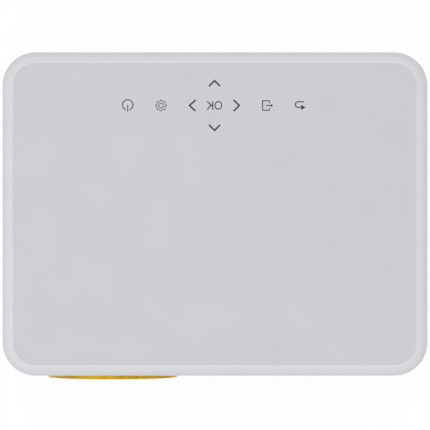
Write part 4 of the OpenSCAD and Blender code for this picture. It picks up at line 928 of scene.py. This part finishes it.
def make_data_tongues():
    """Moulded tongues in the two data sockets, each with four gilt contacts underneath."""
    low = corners("data_sockets")[0]
    x, under = SOCKETS_X["one"], low.z + 4 - 0.05
    pitch = SOCKETS_X["two"] - x
    tongue = slab("data_tongues", (x - 5.6, low.y + 0.6, under),
                  (x + 5.6, TONGUE_FRONT, under + 2), "Y", 0.15, 2)
    tongues = shifted(eased(tongue, 0.15), [(pitch, 0, 0)])
    fit(tongues, black_moulding)
    contact = eased(block("data_contacts", (x - 3.95, CONTACT_BACK, under - 0.12),
                          (x - 2.95, TONGUE_FRONT - 0.5, under + 0.1)), 0.04)
    steps = [(2.3 * k + pitch * side, 0, 0) for side in (0, 1) for k in range(4) if k or side]
    fit(shifted(contact, steps), contact_gold)


def make_video_tongue():
    """Moulded tongue in the video socket with rows of contacts on both faces."""
    low, high = corners("video_socket")
    x, under = (low.x + high.x) / 2, low.z + 2.2 - 0.04
    tongue = slab("video_tongue", (x - 6.1, low.y + 0.6, under),
                  (x + 6.1, TONGUE_FRONT, under + 1.68), "Y", 0.15, 2)
    fit(eased(tongue, 0.12), black_moulding)
    contact = block("video_contacts", (x - 4.75, CONTACT_BACK, under - 0.08),
                    (x - 4.25, TONGUE_FRONT - 0.4, under + 1.76))
    row = shifted(contact, [(k, 0, 0) for k in range(1, 10)])
    combine(row, block("core", (x - 9, 70, under + 0.1), (x + 9, TONGUE_FRONT + 1, under + 1.58)))
    fit(row, contact_gold)


def make_inlet_pins():
    """Two nickel-plated pins with rounded ends in the mains inlet."""
    low, high = corners("ac_inlet")
    middle = (low + high) / 2
    profile = [(0, -13), (1.24, -13), (1.24, -3.2), (1.1, -2.8), (0.8, -2.5), (0.4, -2.38),
               (0, -2.35)]
    pin = turned("inlet_pins", (middle.x - 4.3, high.y, middle.z), "Y", profile, 32)
    fit(shifted(pin, [(8.6, 0, 0)]), plated_sheet)


def make_jack_collars():
    """Nickel rings round the two jack mouths."""
    low, high = corners("audio_jacks")
    profile = [(1.82, -1.5), (2.7, -1.5), (2.7, 0.02), (2.6, 0.12), (2.1, 0.12), (1.82, -0.15)]
    collar = turned("jack_collars", (low.x + 4, high.y, (low.z + high.z) / 2), "Y", profile, 40)
    fit(shifted(collar, [(14, 0, 0)]), plated_sheet)


# ---- Parts on the boards ----

BOARD_TOP = 38.6
TOUCH_UNDER = 86.9


def solder(part, places, finish, angle=35):
    """A part that stands at the first place, with copies at the others, as one piece."""
    (x, y), *others = places
    steps = [(there_x - x, there_y - y, 0) for there_x, there_y in others]
    fit(shifted(part, steps), finish, angle=angle)


def legged_chips(name, places, half_x, half_y, thick, rise=BOARD_TOP, down=False):
    """Flat chips in epoxy with a row of tinned legs along two sides, at each of the places."""
    x, y = places[0]
    low, high = (rise - thick, rise - 0.12) if down else (rise + 0.12, rise + thick)
    chip = slab(name, *round_spot(x, y, half_x, half_y, low, high), "Z", 0.3, 2)
    combine(chip, drum("dot", (x - half_x + 1.2, y + half_y - 1.2, low if down else high), 0.45,
                       0.12, "Z", 16))
    solder(eased(chip, 0.12), places, chip_epoxy)
    middle = (low + high) / 2
    leg = eased(block(name + "_legs", (x - half_x + 0.6, y - half_y - 1.0, min(rise, middle)),
                      (x - half_x + 0.9, y + half_y + 1.0, max(rise, middle))), 0.05)
    count = int((2 * half_x - 1.2) / 0.8)
    row = shifted(leg, [(0.8 * k, 0, 0) for k in range(1, count)])
    solder(row, places, solder_tin)


def power_chokes(places):
    """Square ferrite chokes with a round winding in their middle."""
    x, y = places[0]
    half, top = 3.5, BOARD_TOP + 4.2
    choke = slab("board_chokes", *round_spot(x, y, half, half, BOARD_TOP, top), "Z", 1.2, 4)
    combine(choke, turned("well", (x, y, top), "Z",
                          [(2.0, -0.5), (2.9, -0.5), (2.9, 1), (2.0, 1)], 32))
    solder(eased(choke, 0.2), places, ferrite)


def can_capacitors(name, places, radius, tall):
    """Aluminium cans on a square foot, with the top scored as a vent."""
    x, y = places[0]
    half = radius + 0.2
    foot = slab(name + "_feet", *round_spot(x, y, half, half, BOARD_TOP, BOARD_TOP + 0.9), "Z",
                0.6, 2)
    solder(eased(foot, 0.1), places, chip_epoxy)
    top = BOARD_TOP + tall
    profile = [(0, BOARD_TOP + 0.8), (radius, BOARD_TOP + 0.8), (radius, BOARD_TOP + 1.6),
               (radius - 0.25, BOARD_TOP + 1.9), (radius, BOARD_TOP + 2.2), (radius, top - 0.35),
               (radius - 0.35, top), (0, top)]
    can = turned(name, (x, y, 0), "Z", profile, 40)
    score = block("score", *round_spot(x, y, radius * 0.7, 0.1, top - 0.12, top + 1))
    solder(cut_crosswise(can, score, (x, y, 0)), places, bare_aluminium)


def plug_headers(places):
    """Open nylon headers for the cable plugs, with a row of pins inside."""
    x, y = places[0]
    half, half_deep, tall = 5.0, 2.5, 6.0
    top = BOARD_TOP + tall
    header = block("plug_headers", *round_spot(x, y, half, half_deep, BOARD_TOP, top))
    open_up(header)
    pick(header, lambda middle, normal: normal.z > 0.9)
    bpy.ops.mesh.inset(thickness=0.7 * MM)
    bpy.ops.mesh.extrude_region_move(TRANSFORM_OT_translate={"value": (0, 0, -(tall - 1) * MM)})
    let_go()
    combine(header, block("latch", (x - 1.5, y - 2 * half_deep, top - 2.5),
                          (x + 1.5, y - half_deep + 1, top + 1)))
    solder(eased(header, 0.12), places, plug_nylon)
    pin = eased(block("plug_pins", (x - 3.25, y - 0.3, BOARD_TOP + 0.8),
                      (x - 2.65, y + 0.3, top - 1)), 0.15)
    row = shifted(pin, [(1.95 * k, 0, 0) for k in range(1, 4)])
    solder(row, places, solder_tin)


def chip_resistors(places):
    """Tiny ceramic parts with tinned ends, in short rows."""
    x, y = places[0]
    body = block("chip_resistors", *round_spot(x, y, 0.6, 0.45, BOARD_TOP, BOARD_TOP + 0.5))
    row = [(2.4 * k, 0, 0) for k in range(1, 6)]
    solder(shifted(eased(body, 0.06, 1), row), places, chip_epoxy, None)
    end = eased(block("resistor_ends", (x - 0.95, y - 0.48, BOARD_TOP),
                      (x - 0.6, y + 0.48, BOARD_TOP + 0.54)), 0.06, 1)
    ends = shifted(end, [(1.55, 0, 0)])
    solder(shifted(ends, row), places, solder_tin, None)


def make_radio_can():
    """Tinned shield over the radio, with a row of vent holes."""
    top = BOARD_TOP + 2.4
    can = slab("radio_can", (8, 44, BOARD_TOP), (24, 58, top), "Z", 0.5, 3)
    steps = [(2.5 * k, 4 * row, 0) for k in range(5) for row in range(3) if k or row]
    combine(can, shifted(drum("hole", (11, 47, top), 0.5, 1, "Z", 16), steps))
    fit(eased(can, 0.25), solder_tin)


def make_mains_parts():
    """Power board: drum choke, yellow filter capacitor, glass fuse and a cooling plate."""
    spool = (38, -13.6, BOARD_TOP)
    choke = turned("drum_choke", spool, "Z",
                   [(0, 0), (4.6, 0), (4.6, 1.2), (3.6, 1.5), (3.6, 7.5), (4.6, 7.8), (4.6, 9),
                    (0, 9)], 48)
    fit(choke, ferrite)
    wire_turns = [(3.65 + 0.35 * sin(WHOLE_TURN * k / 4), 1.6 + 0.14 * k) for k in range(42)]
    winding = turned("choke_winding", spool, "Z", [(3.2, 1.6)] + wire_turns + [(3.2, 7.4)], 32)
    fit(winding, winding_copper, angle=60)
    filter_block = slab("filter_capacitor", (31, -60, BOARD_TOP), (46, -53.4, BOARD_TOP + 11), "Y",
                        1.2, 4)
    fit(eased(filter_block, 0.4), tape)
    fuse = (18, -56.6, BOARD_TOP + 3.6)
    tube = turned("fuse_tube", fuse, "X", [(2.2, -7), (2.5, -7), (2.5, 7), (2.2, 7)], 32)
    fit(tube, lens_glass)
    cap = turned("fuse_caps", fuse, "X",
                 [(0, -10), (2.3, -10), (2.65, -9.7), (2.65, -6), (2.5, -5.8), (2.5, -8), (0, -8)],
                 32)
    fit(round_about(cap, fuse, "Z", 2), solder_tin)
    plate = slab("cooling_plate", (52.2, -48, BOARD_TOP + 0.4), (53.8, -22, BOARD_TOP + 20), "X",
                 1.5, 3)
    combine(plate, drum("hole", (53, -35, BOARD_TOP + 15), 1.6, 6, "X", 24))
    fit(eased(plate, 0.15), bare_aluminium)


def fill_boards():
    """Small parts of the main, power and touch boards."""
    legged_chips("memory_chips", [(68, 28), (68, 44)], 6.5, 4.2, 1.2)
    legged_chips("sound_chip", [(72, 58)], 4.0, 3.2, 1.4)
    legged_chips("driver_chips", [(18, 30), (24, 12.5)], 5.0, 3.0, 1.5)
    legged_chips("touch_chip", [(0, 50)], 4.0, 3.2, 1.2, TOUCH_UNDER, True)
    power_chokes([(12, 20), (48, 62), (58, 62), (78, 20)])
    can_capacitors("board_cans", [(38, 62), (84, 36), (84, 50), (30, 60)], 3.1, 7.2)
    plug_headers([(40, 11), (54, 11), (68, 11), (15, -13), (62, -12.6)])
    chip_resistors([(30, 20), (46, 20), (62, 20), (26, 38), (8, 38), (62, 51), (8, 62), (8, 65)])
    make_radio_can()
    make_mains_parts()


def make_capacitor_tops():
    """Scored aluminium tops on the power board's four big capacitors."""
    low, high = corners("power_board")
    board = (low + high) / 2
    tops = []
    for x, y, radius in ((24, 12, 8), (24, -10, 6), (-28, 10, 5), (-28, -8, 5)):
        top = BOARD_TOP + 2.4 * radius
        x, y = board.x + x, board.y + y
        disc = turned("capacitor_tops", (x, y, top), "Z",
                      [(0, -0.3), (radius - 0.7, -0.3), (radius - 0.7, 0.06), (radius - 0.9, 0.12),
                       (0, 0.1)], 48)
        combine(disc, block("score", *round_spot(x, y, radius * 0.6, 0.15, top, top + 1)))
        tops.append(disc)
    fit(joined(tops), bare_aluminium)


# ---- Underside ----

def make_feet():
    """Ribbed rubber feet, one in each corner."""
    low, high = corners("rubber_feet")
    top = high.z
    profile = [(0, 0.35), (1.4, 0.35), (1.6, 0.0), (3.0, 0.0), (3.2, 0.35), (4.2, 0.35), (4.4, 0),
               (6.2, 0), (6.7, 0.25), (7.0, 0.8), (7.0, top), (0, top)]
    foot = turned("ribbed_feet", (high.x - 7, high.y - 7, 0), "Z", profile, 64)
    across, deep = low.x - high.x + 14, low.y - high.y + 14
    feet = shifted(foot, [(across, 0, 0), (0, deep, 0), (across, deep, 0)])
    fit(feet, foot_rubber, node="rubber_feet")


def make_tripod_bush():
    """Brass bush with a thread cut in its bore."""
    low, high = corners("tripod_insert")
    x, y = (low.x + high.x) / 2, (low.y + high.y) / 2
    r, pitch, inner, outer = (high.x - low.x) / 2, 1.27, 2.6, 3.15
    turns = int((high.z - low.z - 1.2) / pitch)
    profile = [(outer, low.z)]
    for k in range(turns):
        z = low.z + 0.5 + pitch * k
        profile += [(inner, z), (inner, z + 0.15),
                    (outer, z + pitch / 2), (outer, z + pitch * 0.6)]
    profile += [(inner, high.z - 0.4), (inner, high.z), (r, high.z), (r, low.z + 0.3),
                (r - 0.3, low.z)]
    bush = turned("tripod_bush", (x, y, 0), "Z", profile, 64)
    fit(bush, insert_brass, node="tripod_insert", angle=25)


# ---- Studio ----

CAMERA_PLACE, CAMERA_LENS, SENSOR = (0.00002, 0.000525, 2.5), 373.4, 36
LAMP_PLACE, LAMP_SIZE, LAMP_POWER = (-1.45, -0.77, 2.2), 3.0, 10
FLOOR_SIZE, FLOOR_GREY, FLOOR_GLOW, FLOOR_GLOW_SHARE = 12, 0.5, 1.1, 0.84
DOME_SEEN, DOME_ON_MATT = 1.0, 0.88


def stood(name, thing, place):
    """A camera or lamp at its place in the room, in metres."""
    stand = bpy.data.objects.new(name, thing)
    stand.location = place
    bpy.context.scene.collection.objects.link(stand)
    return stand


def add_camera():
    """Straight above the object, as the photograph was taken."""
    camera = bpy.data.cameras.new("camera")
    camera.lens = CAMERA_LENS
    camera.sensor_width = SENSOR
    camera.clip_end = 20
    bpy.context.scene.camera = stood("camera", camera, CAMERA_PLACE)


def mixed(finish, share, first, second):
    """Two shaders, mixed by the share of the second."""
    mix = add(finish, "MixShader")
    for source, target in zip((share, first, second), mix.inputs):
        wire(source, target)
    return mix.outputs[0]


def add_floor():
    """A wide white floor, clear from below, that keeps a faint shadow and sends light up."""
    let_go()
    bpy.ops.mesh.primitive_plane_add(size=FLOOR_SIZE)
    floor = settle("floor")
    finish = bpy.data.materials.new("studio_floor")
    finish.use_nodes = True
    tree = finish.node_tree
    tree.nodes.remove(shader_of(finish))
    rays = add(finish, "LightPath").outputs
    seen = reckon(finish, "MAXIMUM", rays["Is Camera Ray"], rays["Is Glossy Ray"])
    seen = reckon(finish, "MAXIMUM", seen, rays["Is Transmission Ray"])
    share = reckon(finish, "MULTIPLY", seen, FLOOR_GLOW_SHARE)
    matt = add(finish, "BsdfDiffuse", Color=(FLOOR_GREY, FLOOR_GREY, FLOOR_GREY, 1))
    glow = add(finish, "Emission", Color=(1, 1, 1, 1), Strength=FLOOR_GLOW)
    upper = mixed(finish, share, matt.outputs[0], glow.outputs[0])
    from_below = add(finish, "NewGeometry").outputs["Backfacing"]
    both = mixed(finish, from_below, upper, add(finish, "BsdfTransparent").outputs[0])
    wire(both, tree.nodes["Material Output"].inputs["Surface"])
    finish.cycles.emission_sampling = "NONE"
    floor.data.materials.append(finish)


def add_light():
    """A white dome with one large soft lamp at the front left."""
    world = bpy.data.worlds.new("studio")
    bpy.context.scene.world = world
    world.use_nodes = True
    glow = world.node_tree.nodes["Background"]
    dial(glow, Color=(1, 1, 1, 1))
    lit = add(world, "MapRange", To_Min=DOME_SEEN, To_Max=DOME_ON_MATT)
    wire(add(world, "LightPath").outputs["Is Diffuse Ray"], lit.inputs["Value"])
    wire(lit.outputs["Result"], glow.inputs["Strength"])
    lamp = bpy.data.lights.new("soft_lamp", "AREA")
    lamp.shape = "DISK"
    lamp.size = LAMP_SIZE
    lamp.energy = LAMP_POWER
    stand = stood("soft_lamp", lamp, LAMP_PLACE)
    stand.rotation_euler = (-stand.location).to_track_quat("-Z", "Y").to_euler()


finish_solids()
make_touch_plate()
print_key_symbols()
make_gilt_bezel()
make_focus_grip()
make_baffle_steps()
make_receiver_window()
slotted_inserts()
make_tray_front()
make_eject_mark()
make_ready_lamp()
make_disc_pad()
make_pickup_hood()
make_tray_shield()
print_rear_marks()
make_data_tongues()
make_video_tongue()
make_inlet_pins()
make_jack_collars()
fill_boards()
make_capacitor_tops()
make_feet()
make_tripod_bush()
add_camera()
add_floor()
add_light()
bpy.context.scene.view_settings.view_transform = "Standard"

let_go()
